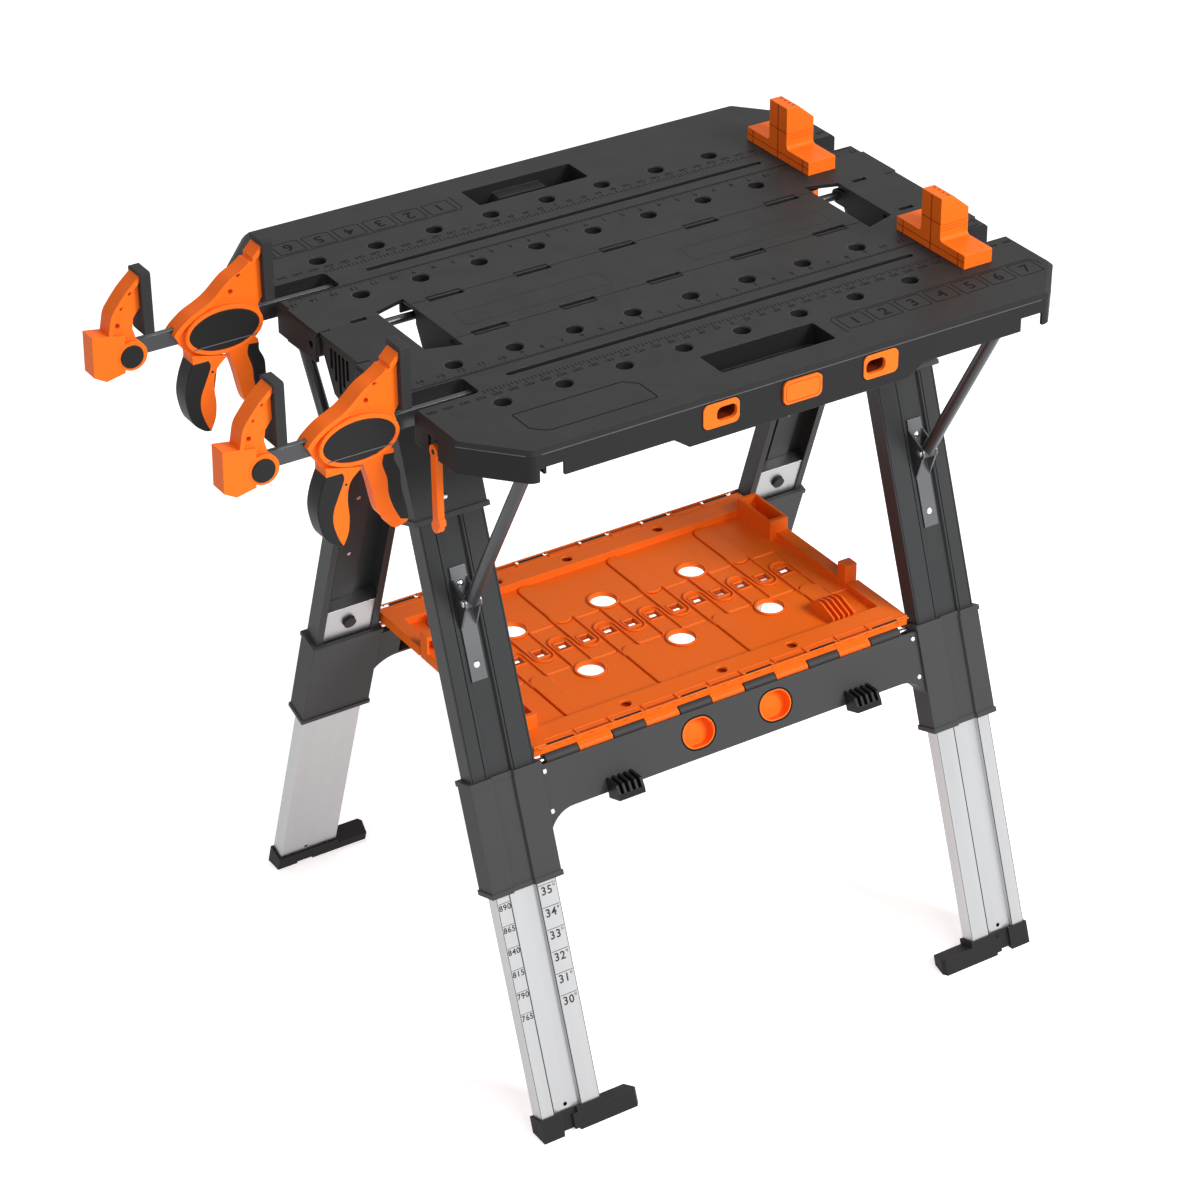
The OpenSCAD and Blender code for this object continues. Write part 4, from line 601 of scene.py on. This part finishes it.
aluminium = {side: drawn_metal(f"aluminium_{side}", (0.43, 0.434, 0.44), (0.7, 0.7, 0.7), 0.38,
                               turn=(turn * LEG_TILT, 0, 0)) for side, turn in SIDES}
pad_rubber = ribbed_rubber("pad_rubber", (0.02, 0.02, 0.021))
lock_plastic = moulding("lock_plastic", (0.02, 0.02, 0.021), (0.07, 0.07, 0.07), rough=0.45)
# Dark finish of the engraved marks on the top, also laid as painted shade in the skirt gaps,
# folds, deck pockets and round the window cups.
marks_and_shade = moulding("engraved_mark_and_painted_shade", (0.006, 0.006, 0.0062), (0.012, 0.012, 0.012), rough=0.8,
                    wear_and_highlight=0.2)
# Light grey of raised lines: a painted highlight along the skirt's lip and across the clamps'
# covers.
raised_highlight = moulding("raised_line_highlight", (0.1, 0.1, 0.1), (0.2, 0.2, 0.2), rough=0.45, wear_and_highlight=0.3)
leg_print = moulding("leg_print", (0.05, 0.05, 0.052), (0.05, 0.05, 0.05), rough=0.5, wear_and_highlight=0.1)
fold_shadow = coated_metal("fold_shadow", (0.05, 0.05, 0.052), (0.12, 0.12, 0.12), 0.5,
                           level=0.2)
# Darker orange of painted shade inside the sockets' hollows.
deep_shade_orange = moulding("shaded_orange", (0.13, 0.016, 0.002), (0.2, 0.03, 0.004), rough=0.7,
                       wear_and_highlight=0.1, level=0.1)
# Dark orange of painted shade in grooves, rim pockets, square holes and round the button's brim.
shadow_orange = moulding("painted_shadow_orange", (0.5, 0.06, 0.005), (0.6, 0.08, 0.01), rough=0.6,
                         wear_and_highlight=0.2, level=0.15)

FINISH_OF = {start: material for material, starts in (
    (top_plastic, "centre_deck wing"), (beam_plastic, "end_blocks"),
    (frame_plastic, "crossbar leg_caps"), (boot_plastic, "foot"), (lock_plastic, "leg_lock"),
    (leg_paint, "upper_legs"), (bracket_steel, "strut_brackets"), (rivet_steel, "frame_pins"),
    (blackened_steel, "hinge_rods strut clamp_bar"), (inlay_plastic, "cord_hooks clamp_trigger"),
    (pad_rubber, "clamp_end_pad clamp_body_pad"),
    (orange_plastic, "side_sockets push_button latch_strap window_cups shelf clamp_end_jaw "
                     "clamp_body clamp_lever dog")) for start in starts.split()}


def finish_of(name):
    """The material of a CAD node, by the longest beginning of its name in the list."""
    if name.startswith("lower_leg"):
        return aluminium["front" if "front" in name else "back"]
    return FINISH_OF[max((k for k in FINISH_OF if name.startswith(k)), key=len)]


for node_name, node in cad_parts.items():
    node.data.materials.clear()
    node.data.materials.append(finish_of(node_name))


# -------- top wings

MARK_T = 0.09            # the marks stand this little above the top
INCH = 25.4


def marks(rects):
    """Flat marks on the top, one for each row (x0, y0, x1, y1)."""
    return boxes(rects, TOP_Z, TOP_Z + MARK_T)


def inch_rule():
    """Ticks every sixteenth of an inch from the middle both ways, and a number each inch."""
    foot, half_t, inches = -131.0, 0.33, 15
    k = np.arange(-inches * 16, inches * 16 + 1)
    length = np.where(k % 16 == 0, 8.0, np.where(k % 8 == 0, 6.0, np.where(k % 4 == 0, 4.4, 2.8)))
    x = k * INCH / 16
    ticks = np.stack([x - half_t, np.full(len(x), foot), x + half_t, foot + length], 1)
    line = [(x[0] - 0.3, foot - 0.5, x[-1] + 0.3, foot + 0.1)]
    return [marks(ticks), marks(line)] + [
        number(abs(n), n * INCH, foot + 10.7, 6.6, TOP_Z, MARK_T)
        for n in range(-inches, inches + 1)]


def metric_rule():
    """Ticks every 5 mm from the middle both ways, longer at 10 and 20, numbers every 20."""
    head, half_t = -170.5, 0.65
    k = np.arange(-76, 77)
    length = np.where(k % 4 == 0, 9.0, np.where(k % 2 == 0, 7.0, 4.6))
    x = k * 5.0
    ticks = np.stack([x - half_t, head - length, x + half_t, np.full(len(x), head)], 1)
    return [marks(ticks)] + [number(abs(n) * 20, n * 20.0, head - 16.5, 5.2, TOP_Z, MARK_T)
                             for n in range(-19, 20)]


def clear_of_holes(verts, faces):
    """Drops the faces that would hang over a dog hole, a clamp slot or the wing's edge."""
    hole_r, slot_l, slot_half, edge = 11.4, 82, 20.6, 6
    v = np.asarray(verts)
    ix = np.round(v[:, 0] / PITCH)
    near = [np.hypot(v[:, 0] - ix * PITCH, v[:, 1] + row) < hole_r for row in (ROW_IN, ROW_OUT)]
    slot = (np.abs(v[:, 0]) > HALF_L - slot_l) & (np.abs(v[:, 1] + ROW_MID) < slot_half)
    bad = near[0] | near[1] | slot | (np.abs(v[:, 0]) > HALF_L - edge)
    keep = [f for f in faces if not bad[list(f)].any()]
    used = np.unique([i for f in keep for i in f])
    new = np.full(len(v), -1)
    new[used] = np.arange(len(used))
    return v[used], [tuple(new[list(f)]) for f in keep]


def name_plate():
    """Thin frame of the bare plate, 152 by 52, its corners cut by 2, 14, 3 and 20 by 16."""
    o = np.array([(-76, 24), (-74, 26), (62, 26), (76, 12), (76, -23), (73, -26), (-56, -26),
                  (-64, -23), (-76, -10)]) + [-237.0, -259.0]
    o = o[::-1]
    return frame_slab(o, inset(o, 1.9), TOP_Z, TOP_Z + MARK_T)


def plain_cells():
    """Seven rounded cells side by side, each a thin frame round its number, and the line
    that runs round their left and upper side."""
    first, step, y, w, h = 118.0, 39.6, -251.0, 34.5, 30.0
    parts = []
    for k in range(7):
        x = first + step * k
        o = round_box(x, y, w, h, 3.0)
        parts.append(frame_slab(o, inset(o, 1.3), TOP_Z, TOP_Z + MARK_T))
        parts.append(number(k + 1, x, y - 8.0, 16.0, TOP_Z, MARK_T))
    run = [(96.5, -270.5), (94.0, -268.0), (94.0, -239.0), (99.0, -233.0), (370.0, -233.0),
           (378.0, -241.0), (378.0, -252.0)]
    parts.append(slab(strip_along(run, 1.3)[::-1], TOP_Z, TOP_Z + MARK_T))
    return parts


for side, turn in SIDES:
    for name, (verts, faces) in (
            ("top_rules", clear_of_holes(*joined(inch_rule() + metric_rule()))),
            ("plain_panels", joined(plain_cells() + ([name_plate()] if side == "front" else [])))):
        piece(f"{name}_{side}", place(turned(verts, turn)), faces, f"top_wing_{side}", marks_and_shade)


SOCKET_X, SOCKET_Z, SOCKET_W, SOCKET_H = 104.6, TOP_Z - 21.5, 46.0, 29.0
BUTTON_Z, BUTTON_W, BUTTON_H = TOP_Z - 21.25, 50.0, 27.5
BUTTON_FACE = 3.0        # the button's face outside the skirt


def wing_lip():
    """Light line under the bevel, a painted highlight along the skirt and its two slanting
    corners.
    """
    corner_x, corner_y, r = 56.0, 64.0, 6.0
    run = [(-HALF_L + 1.0, -HALF_W + corner_y - 1.0), (-HALF_L + corner_x - r, -HALF_W + r * 1.05),
           (-HALF_L + corner_x + 2 * r, -HALF_W), (HALF_L - corner_x - 2 * r, -HALF_W),
           (HALF_L - corner_x + r, -HALF_W + r * 1.05), (HALF_L - 1.0, -HALF_W + corner_y - 1.0)]
    return slab(strip_along(run, 0.7), TOP_Z - 5.0, TOP_Z - 4.2)


def dark_rings():
    """Shadow gaps round the two sockets and the button, as frames on the skirt."""
    parts = []
    for x, z, w, h in ((-SOCKET_X, SOCKET_Z, SOCKET_W, SOCKET_H),
                       (SOCKET_X, SOCKET_Z, SOCKET_W, SOCKET_H),
                       (0.0, BUTTON_Z, BUTTON_W, BUTTON_H)):
        o = round_box(x, z, w + 2.6, h + 2.6, 8.3)
        parts.append(frame_slab(o, inset(o, 1.15), -0.2, 0.12))
    return joined(parts)


def button_brim():
    """Dark line of painted shade round the push button's face: a rounded frame 2.6 mm inside its
    edge.
    """
    o = round_box(0.0, BUTTON_Z, BUTTON_W - 5.2, BUTTON_H - 5.2, 5.6)
    return frame_slab(o, inset(o, 0.9), BUTTON_FACE - 0.1, BUTTON_FACE + 0.1)


def socket_throats():
    """Shaded walls and floor of the two sockets' hollows, just inside the solid ones."""
    shift, wall, deep = 7.0, 0.3, -20.2
    parts = []
    for x in (-SOCKET_X + shift, SOCKET_X - shift):
        o = round_box(x, SOCKET_Z, 25.4, 16.4, 7.2)
        parts.append(frame_slab(o, inset(o, wall), deep, -3.0))
        parts.append(slab(inset(o, wall), deep, deep + 0.4))
    return joined(parts)


for side, turn in SIDES:
    verts, faces = wing_lip()
    piece(f"skirt_lip_{side}", place(turned(verts, turn)), faces, f"top_wing_{side}", raised_highlight)
    for name, part, body, finish, slot in (
            ("skirt_gaps", dark_rings(), "top_wing", marks_and_shade, "black_plastic"),
            ("socket_throats", socket_throats(), "top_wing", deep_shade_orange, "orange_plastic"),
            ("button_brim", button_brim(), "button", shadow_orange, "orange_plastic")):
        verts, faces = on_skirt(part, turn)
        piece(f"{name}_{side}", place(verts), faces, f"{body}_{side}", finish)


# -------- centre deck

def deck_lines():
    """Seam beside each wing between its knuckles, their pockets as dark patches of painted shade,
    and two panels on the deck.
    """
    pitch, half, knuckle = 114.0, 272.0, 23
    seam_y, pocket_y, pocket_x = 49.2, 54.0, 21.5
    places = [k * pitch for k in range(-2, 3)]
    rows = []
    for s in (-1, 1):
        edges = [-half + 1] + [x + e * knuckle for x in places for e in (-1, 1)] + [half - 1]
        rows += [(a, s * seam_y - 0.55, b, s * seam_y + 0.55)
                 for a, b in zip(edges[::2], edges[1::2])]
        rows += [(x - pocket_x, s * pocket_y - 1.6, x + pocket_x, s * pocket_y + 1.6)
                 for x in places]
        rows += [(x + e * pocket_x - 0.5, s * 49.5 - 5.5, x + e * pocket_x + 0.5, s * 49.5 + 5.5)
                 for x in places for e in (-1, 1)]
    parts = [boxes(rows, TOP_Z - 0.02, TOP_Z + MARK_T)]
    for x in (-150.0, 150.0):
        o = round_box(x, -12.0, 190.0, 34.0, 1.0, 2)
        parts.append(frame_slab(o, inset(o, 0.4), TOP_Z - 0.02, TOP_Z + 0.04))
    return joined(parts)


verts, faces = deck_lines()
piece("deck_lines", place(verts), faces, "beam", marks_and_shade)


# -------- clamps

# the handles' boxes in the clamp's plane, and their outlines as shares of them
GRIP = dict(x=58.0, z=-121.5, w=57.0, h=97.0)
LEVER = dict(x=5.0, z=-122.5, w=52.0, h=100.0)
GRIP_OUT = [(0.795, 0.89), (0.92, 0.71), (0.99, 0.505), (0.95, 0.30), (0.85, 0.135),
            (0.64, 0.02), (0.51, 0.0)]
GRIP_SPLIT = [(0.53, 0.01), (0.62, 0.134), (0.69, 0.299), (0.672, 0.454), (0.567, 0.608),
              (0.426, 0.804), (0.461, 0.887)]
LEVER_IN = [(0.27, 0.90), (0.27, 0.81), (0.16, 0.67), (0.14, 0.47), (0.04, 0.21), (0.0, 0.06)]
LEVER_SPLIT = [(0.179, 0.09), (0.333, 0.26), (0.429, 0.44), (0.448, 0.62), (0.544, 0.80),
               (0.506, 0.91)]
GRIP_HALF, LEVER_HALF = 12.6, 7.6    # half thickness of the inlays
COVER_FACE = 13.0                    # the cover's face outside the clamp's middle plane


def sized(shares, box):
    """Shares of a box's width and height as points of the clamp's plane."""
    s = np.asarray(shares, float)
    return np.column_stack([box["x"] + s[:, 0] * box["w"], box["z"] + s[:, 1] * box["h"]])


def anticlockwise(outline):
    """The outline itself, or turned round where its signed area is below nought."""
    o = np.asarray(outline, float)
    area = np.sum(o[:, 0] * np.roll(o[:, 1], -1) - np.roll(o[:, 0], -1) * o[:, 1])
    return o if area > 0 else o[::-1]


def across_clamp(part, turn):
    """A flat piece (x, z of the clamp, height out of its cover's face) stood on both faces."""
    v, f = part
    v = np.asarray(v, float)
    near = np.column_stack([v[:, 0], -(v[:, 2] + COVER_FACE), v[:, 1]])
    far = np.column_stack([v[:, 0], v[:, 2] + COVER_FACE, v[:, 1]])
    # on_clamp() mirrors x, so the near copy's faces are turned round
    flipped = [face[::-1] for face in f]
    return joined([(on_clamp(near, turn), flipped), (on_clamp(far, turn), f)])


def through_clamp(part, turn):
    """A flat piece (x, z of the clamp, height) stood across the clamp's middle plane."""
    v, f = part
    v = np.asarray(v, float)
    stood = np.column_stack([v[:, 0], -v[:, 2], v[:, 1]])
    return on_clamp(stood, turn), [face[::-1] for face in f]


def inlay(edge, split, box, half):
    """Soft inlay over one side of a handle: its edge curve, then the split back, grown by 0.6."""
    o = np.concatenate([curve_through(sized(edge, box)), curve_through(sized(split, box))])
    return rounded_slab(inset(anticlockwise(o), -0.6), -half, half, 1.4)


def clamp_trim():
    """Trim of a clamp: each piece's name, how it stands, its flat part, body and finish."""
    # the raised line across the cover, painted light as a highlight
    line = strip_along([(24.0, -16.9), (43.0, -16.7), (82.0, -16.7), (101.0, -16.9)], 1.1)
    cover = anticlockwise(oval(62.5, -2, 96, 57, 72))
    cap = anticlockwise(oval(174.5, -4.2, 27, 27, 48))
    grip = inlay(GRIP_OUT, GRIP_SPLIT, GRIP, GRIP_HALF)
    lever = inlay(LEVER_IN, LEVER_SPLIT, LEVER, LEVER_HALF)
    plate = crowned(inset(cover, 5.2), -0.4, 0.95, 0.9)
    brim = frame_slab(inset(cover, 0.4), inset(cover, 4.6), -0.3, 0.85)
    return (
        ("grip_inlay", through_clamp, grip, "clamp_carriage", inlay_plastic),
        ("lever_inlay", through_clamp, lever, "squeeze_lever", inlay_plastic),
        ("cover_line", across_clamp, slab(anticlockwise(line), 0.5, 1.35), "clamp_carriage",
         raised_highlight),
        ("cover_plate", across_clamp, plate, "clamp_carriage", inlay_plastic),
        ("cover_brim", across_clamp, brim, "clamp_carriage", orange_plastic),
        ("end_cap", across_clamp, crowned(cap, -0.4, 1.3, 1.1), "clamp_rail", inlay_plastic))


for side, turn in SIDES:
    for name, stand, part, body, finish in clamp_trim():
        v, f = stand(part, turn)
        piece(f"clamp_{name}_{side}", place(v), f, f"{body}_{side}", finish)


# -------- shelf

TRAY_TOP = 415.05
FINGER, FINGER_TIP = 32.0, 20.0
FINGER_X = [(6.5 - i) * FINGER for i in range(0, 14, 2)]    # fingers of the front half
RING_X, RIDGE_X = FINGER_X[1:6:2], FINGER_X[::2]            # those with a ring or a long ridge
RING_Y, RIDGE_Y = -62.0, -92.0


def raised_finger(x, foot):
    """Middle line of the raised brim round a finger's tip: a half circle and two runs.

    The half circle of radius r stands about (x, tip - r). Its ends go straight on to y = foot.
    """
    r = FINGER / 2 - 2.6
    a = np.linspace(0, math.pi, 15)
    arc = np.column_stack([x + r * np.cos(a), FINGER_TIP - r + r * np.sin(a)])
    return np.concatenate([[(x + r, foot)], arc, [(x - r, foot)]])


def shelf_ridges():
    """Brims, rings and long ridges of the front half of the shelf, seen from the front.

    The front half's own fingers reach back past the middle (towards plus Y).
    """
    low = TRAY_TOP - 0.1
    parts = []
    for x in FINGER_X:
        brim = strip_along(raised_finger(x, -44.0 if x in RING_X else -60.0), 2.4)
        square = round_box(x, 0, 20.0, 20.0, 1.5)
        parts += [slab(anticlockwise(brim), low, TRAY_TOP + 2.1),
                  frame_slab(square, inset(square, 2.4), low, TRAY_TOP + 1.0)]
    for x in RING_X:
        ring = oval(x, RING_Y, 39.0, 39.0, 48)
        parts.append(frame_slab(ring, inset(ring, 2.6), low, TRAY_TOP + 2.0))
    return joined(parts + [
        crowned(round_box(x, RIDGE_Y, 27.0, 99.0, 13.2), low, TRAY_TOP + 2.4, 1.0, 2)
        for x in RIDGE_X])


def hole_liners():
    """Shadows on the front half of the shelf: a frame and a bar in each square hole, a line
    beside each finger's brim, and thin frames round the long ridges and the rings."""
    low = TRAY_TOP - 0.1
    parts = []
    for x in FINGER_X:
        square = round_box(x, 0, 14.6, 14.6, 0.6, 3)
        beside = strip_along(raised_finger(x, -42.0) + [0, 1.6], 0.9)
        parts += [frame_slab(square, inset(square, 1.9), TRAY_TOP - 3.0, TRAY_TOP - 0.4),
                  slab(anticlockwise(beside), low, TRAY_TOP + 0.15),
                  boxes([(x - 7.0, -7.0, x + 7.0, -1.0)], TRAY_TOP - 2.6, TRAY_TOP - 1.6)]
    for outline, width in ([(round_box(x, RIDGE_Y, 29.4, 101.4, 14.4), 1.2) for x in RIDGE_X]
                           + [(oval(x, RING_Y, 40.4, 40.4, 48), 0.8) for x in RING_X]):
        parts.append(frame_slab(outline, inset(outline, width), low, TRAY_TOP + 0.12))
    return joined(parts)


RIM_TOP = 424.05
RIM_IN, RIM_OUT = -172.0, -185.7
EAR_PITCH, KNUCKLE_W = 91.0, 45.0


def rim_trim():
    """Fins, outer lip, inner line and nubs of the shelf's front rim, each a thin bar."""
    low, lip_half, line_half = RIM_TOP - 0.1, 260.0, 244.0
    edges = [k * EAR_PITCH + s * KNUCKLE_W / 2 for k in range(-2, 3) for s in (-1, 1)]
    rows = [(x - 0.9, RIM_OUT + 0.3, low, x + 0.9, RIM_IN, RIM_TOP + 1.5) for x in edges]
    rows += [(-lip_half, RIM_OUT - 0.1, low, lip_half, RIM_OUT + 1.6, RIM_TOP + 1.2),
             (-line_half, RIM_IN, low, line_half, RIM_IN + 1.0, RIM_TOP + 0.8)]
    rows += [(x - 1.1, RIM_OUT - 0.4, RIM_TOP - 2.5, x + 1.1, RIM_OUT + 0.2, RIM_TOP + 1.2)
             for x in np.arange(-11, 12) * EAR_PITCH / 4]
    return bars(rows)


def rim_patches(places, half, near, far, height):
    """Thin patches on the rim: each spans its place, counted in pitches, half both ways."""
    return boxes([(k * EAR_PITCH - half, RIM_OUT + near, k * EAR_PITCH + half, RIM_OUT + far)
                  for k in places], RIM_TOP - 0.05, RIM_TOP + height)


def shelf_trim():
    """Trim of half the shelf: each piece's name, part, finish and slot.

    The pockets' floors, patches of painted shade, stand over the knuckles, the crossbar's ear tops
    between them.
    """
    pockets = rim_patches(range(-2, 3), 21.6, 1.7, 6.5, 0.08)
    ear_tops = rim_patches(np.arange(-2.5, 3.0), 18.0, 2.0, 6.0, 0.3)
    return (("ridges", shelf_ridges(), orange_plastic, "orange_plastic"),
            ("hole_liners", hole_liners(), shadow_orange, "orange_plastic"),
            ("rim_trim", rim_trim(), orange_plastic, "orange_plastic"),
            ("rim_shadows", pockets, shadow_orange, "orange_plastic"),
            ("rim_ear_tops", ear_tops, inlay_plastic, "black_plastic"))


for side, turn in SIDES:
    for name, (verts, faces), finish, slot in shelf_trim():
        piece(f"shelf_{name}_{side}", place(turned(verts, turn)), faces, f"tool_shelf_{side}",
              finish)


# -------- leg scales and folds

LEG_FACE = -2.05
SCALE_TOP = 297.0        # first line's height along the leg
SCALE_STEP = 26.9        # an inch of bench height, along the tilted leg
# an inch's line and its two ticks, and a millimetre line: x and height, from and to
INCH_MARKS = ((-294.5, -0.35, -272.5, 0.35), (-276.2, -5.0, -275.4, -2.0),
              (-274.6, -5.0, -273.8, -2.0))
MM_MARKS = ((-348.0, -0.3, -333.0, 0.3),)


def leg_scale():
    """Marks and numbers of the bench's heights on a lower leg: inches on the wide strip
    beside the recess, millimetres on the narrow one, 4 mm lower."""
    low, high = LEG_FACE - 0.05, LEG_FACE + 0.08
    parts = []
    for k in range(6):
        for drop, rows, n, x, foot, h in (
                (0.0, INCH_MARKS, 35 - k, -285.0, 12.0, 9.5),
                (4.0, MM_MARKS, 890 - 25 * k, -340.5, 8.4, 6.6)):
            s = SCALE_TOP - SCALE_STEP * k - drop
            parts.append(boxes([(x0, s + s0, x1, s + s1) for x0, s0, x1, s1 in rows], low, high))
            parts.append(number(n, x, s - foot, h, low, high - low))
    return joined(parts)


def leg_folds(x_turn):
    """Dark lines of painted shade where a lower leg's face folds: beside the recess and near both
    edges.
    """
    foot, head = 8.0, 306.0
    rows = [(x + out - w, foot, x + out + w, head)
            for x, d, w in ((x_turn * RECESS_X, 18.1, 0.7), (x_turn * LEG_X, 39.0, 0.35))
            for out in (-d, d)]
    return boxes(rows, LEG_FACE - 0.05, LEG_FACE + 0.06)


def upper_folds():
    """Dark lines of painted shade along both upper legs of a frame: beside the recess and near
    both edges.
    """
    foot, head = 415.0, 800.0
    rows = [(s * (x + out) - w, foot, s * (x + out) + w, head)
            for s in (-1, 1)
            for x, d, w in ((RECESS_X, 18.4, 0.65), (LEG_X, 39.4, 0.4))
            for out in (-d, d)]
    return boxes(rows, -0.05, 0.08)


def lower_leg_body(side, x_turn):
    """Body of a lower leg, named by where it stands as seen from the bench's front."""
    hand = "left" if (x_turn < 0) == (side == "front") else "right"
    return f"lower_leg_{side}_{hand}_body"


for side, turn in SIDES:
    v, f = on_leg_face(leg_scale(), turn)
    piece(f"leg_scale_{side}", place(v), f, lower_leg_body(side, -1), leg_print)
    v, f = on_leg_face(upper_folds(), turn)
    piece(f"upper_folds_{side}", place(v), f, f"leg_frame_{side}", marks_and_shade)
    for name, x_turn in (("left", -1), ("right", 1)):
        v, f = on_leg_face(leg_folds(x_turn), turn)
        piece(f"leg_folds_{side}_{name}", place(v), f, lower_leg_body(side, x_turn), fold_shadow)


# -------- crossbar

WINDOW_X, WINDOW_H, WINDOW_R = 54.0, 405.5, 20.3     # H is the height along the legs


def window_gap(x):
    """Dark frame of painted shade round one window cup: two half circles, 4 mm out from its
    middle.
    """
    a = np.linspace(-math.pi / 2, math.pi / 2, 13)
    cap = np.column_stack([4.0 + WINDOW_R * np.cos(a), WINDOW_R * np.sin(a)])
    o = np.concatenate([cap, -cap]) + [x, WINDOW_H]
    return frame_slab(o, inset(o, 2.1), -0.1, 0.15)


for side, turn in SIDES:
    v, f = on_leg_face(joined([window_gap(-WINDOW_X), window_gap(WINDOW_X)]), turn)
    piece(f"window_gaps_{side}", place(v), f, f"leg_frame_{side}", marks_and_shade)


# -------- bench dogs

DOG_X, DOG_W = 294.8, 39.2       # a dog's left face and its width
RISER_HALF, RISER_TOP = 18.0, 69.4


def dog_grooves(y):
    """Grooves of one dog as thin dark bars of painted shade: on its left face, its riser's sides
    and top.

    The rows give the distance across the dog and the height over the wing, from and to.
    """
    face = [(-64, 64, 7.9, 9.1), (-1.0, 1.0, 0.2, 69.3), (-18, 18, 37.1, 38.5),
            (-52.8, -51.2, 0.2, 16.8), (51.2, 52.8, 0.2, 16.8)]
    rows = [(DOG_X - 0.12, y + y0, TOP_Z + z0, DOG_X + 0.1, y + y1, TOP_Z + z1)
            for y0, y1, z0, z1 in face]
    for y0, y1 in ((-RISER_HALF - 0.12, -RISER_HALF), (RISER_HALF, RISER_HALF + 0.12)):
        rows += [(DOG_X + 1, y + y0, TOP_Z + z, DOG_X + DOG_W - 1, y + y1, TOP_Z + z + 0.5)
                 for z in (29.0, 32.5, 36.0)]
    rows += [(DOG_X + 11.5, y + k - 1.5, TOP_Z + RISER_TOP, DOG_X + 14.5, y + k + 1.5,
              TOP_Z + RISER_TOP + 0.35) for k in (-12, -4, 4, 12)]
    return bars(rows)


for side, turn in SIDES:
    v, f = dog_grooves(-turn * ROW_MID)
    piece(f"dog_grooves_{side}", place(v), f, f"bench_dog_{side}", shadow_orange)


# -------- camera, light and floor

def look_from():
    """The photograph's viewpoint: place in metres, turned by azimuth, elevation and roll."""
    cam = bpy.data.cameras.new("photo_view")
    cam.lens, cam.sensor_width = 107.45, 36.0
    cam.shift_x, cam.shift_y = -0.0896, -0.0314
    cam.clip_start, cam.clip_end = 0.1, 60.0
    obj = in_scene("photo_view", cam)
    az, el, roll = math.radians(34.056), math.radians(30.521), math.radians(0.4)
    forward = np.array([math.sin(az) * math.cos(el), math.cos(az) * math.cos(el), -math.sin(el)])
    right = np.array([math.cos(az), -math.sin(az), 0.0])
    up = np.cross(right, forward)
    r2 = right * math.cos(roll) + up * math.sin(roll)
    u2 = -right * math.sin(roll) + up * math.cos(roll)
    m = np.eye(4)
    m[:3, 0], m[:3, 1], m[:3, 2] = r2, u2, -forward
    m[:3, 3] = (-1.87955, -3.0832, 2.6575)
    obj.matrix_world = [list(row) for row in m.T]
    return obj


def soft_lamp(name, where, size, watts, target=(0.0, 0.0, 0.5)):
    """A square lamp, turned so that its minus Z axis points at the target."""
    lamp = bpy.data.lights.new(name, "AREA")
    lamp.energy, lamp.size = watts, size
    back = np.asarray(where, float) - np.asarray(target, float)
    back /= np.linalg.norm(back)
    right = np.cross([0, 0, 1.0], back)
    right /= np.linalg.norm(right)
    m = np.eye(4)
    m[:3, 0], m[:3, 1], m[:3, 2], m[:3, 3] = right, np.cross(back, right), back, where
    in_scene(name, lamp).matrix_world = [list(row) for row in m.T]


def seen_share(net):
    """One where the camera, a reflection or a clear piece sees a surface, else nought."""
    path = net.add("LightPath")
    indirect = net.math("MAXIMUM", path.outputs["Is Glossy Ray"],
                        path.outputs["Is Transmission Ray"])
    return net.math("MAXIMUM", path.outputs["Is Camera Ray"], indirect)


def white_world():
    """White where the camera, a reflection or a clear piece sees it, a mid grey as light."""
    world = bpy.data.worlds.new("white_world")
    world.use_nodes = True
    net = Net(world.node_tree)
    back = world.node_tree.nodes["Background"]
    tone = net.mix(seen_share(net), (0.3, 0.3, 0.305), (1.0, 1.0, 1.0))
    net.link(tone, back.inputs["Color"])
    back.inputs["Strength"].default_value = 1.0
    bpy.context.scene.world = world


def pale_floor():
    """A round floor that keeps the shadow and is lifted to white where seen_share is one."""
    n, radius = 64, 6.0
    a = np.linspace(0, 2 * math.pi, n, endpoint=False)
    verts = np.column_stack([radius * np.cos(a), radius * np.sin(a), np.zeros(n)])
    mesh = mesh_from("floor", verts, [tuple(range(n))])
    material = bpy.data.materials.new("pale_floor")
    material.use_nodes = True
    net = Net(material.node_tree)
    shader = material.node_tree.nodes["Principled BSDF"]
    shader.inputs["Base Color"].default_value = (0.92, 0.92, 0.92, 1)
    shader.inputs["Roughness"].default_value = 0.9
    shader.inputs["Specular IOR Level"].default_value = 0.1
    shader.inputs["Emission Color"].default_value = (1, 1, 1, 1)
    net.link(net.math("MULTIPLY", seen_share(net), 0.6), shader.inputs["Emission Strength"])
    mesh.materials.append(material)
    obj = in_scene("floor", mesh)


bpy.context.scene.camera = look_from()
soft_lamp("key_lamp", (1.8, -3.4, 3.0), 1.7, 182.0)
soft_lamp("front_lamp", (-0.2, -3.4, 2.9), 1.6, 34.0)
soft_lamp("fill_lamp", (-3.2, -1.6, 1.6), 2.4, 18.0)
soft_lamp("top_lamp", (0.2, 0.6, 3.6), 2.2, 24.0, target=(0.1, 0.0, 0.0))
white_world()
pale_floor()
bpy.context.scene.view_settings.view_transform = "Standard"
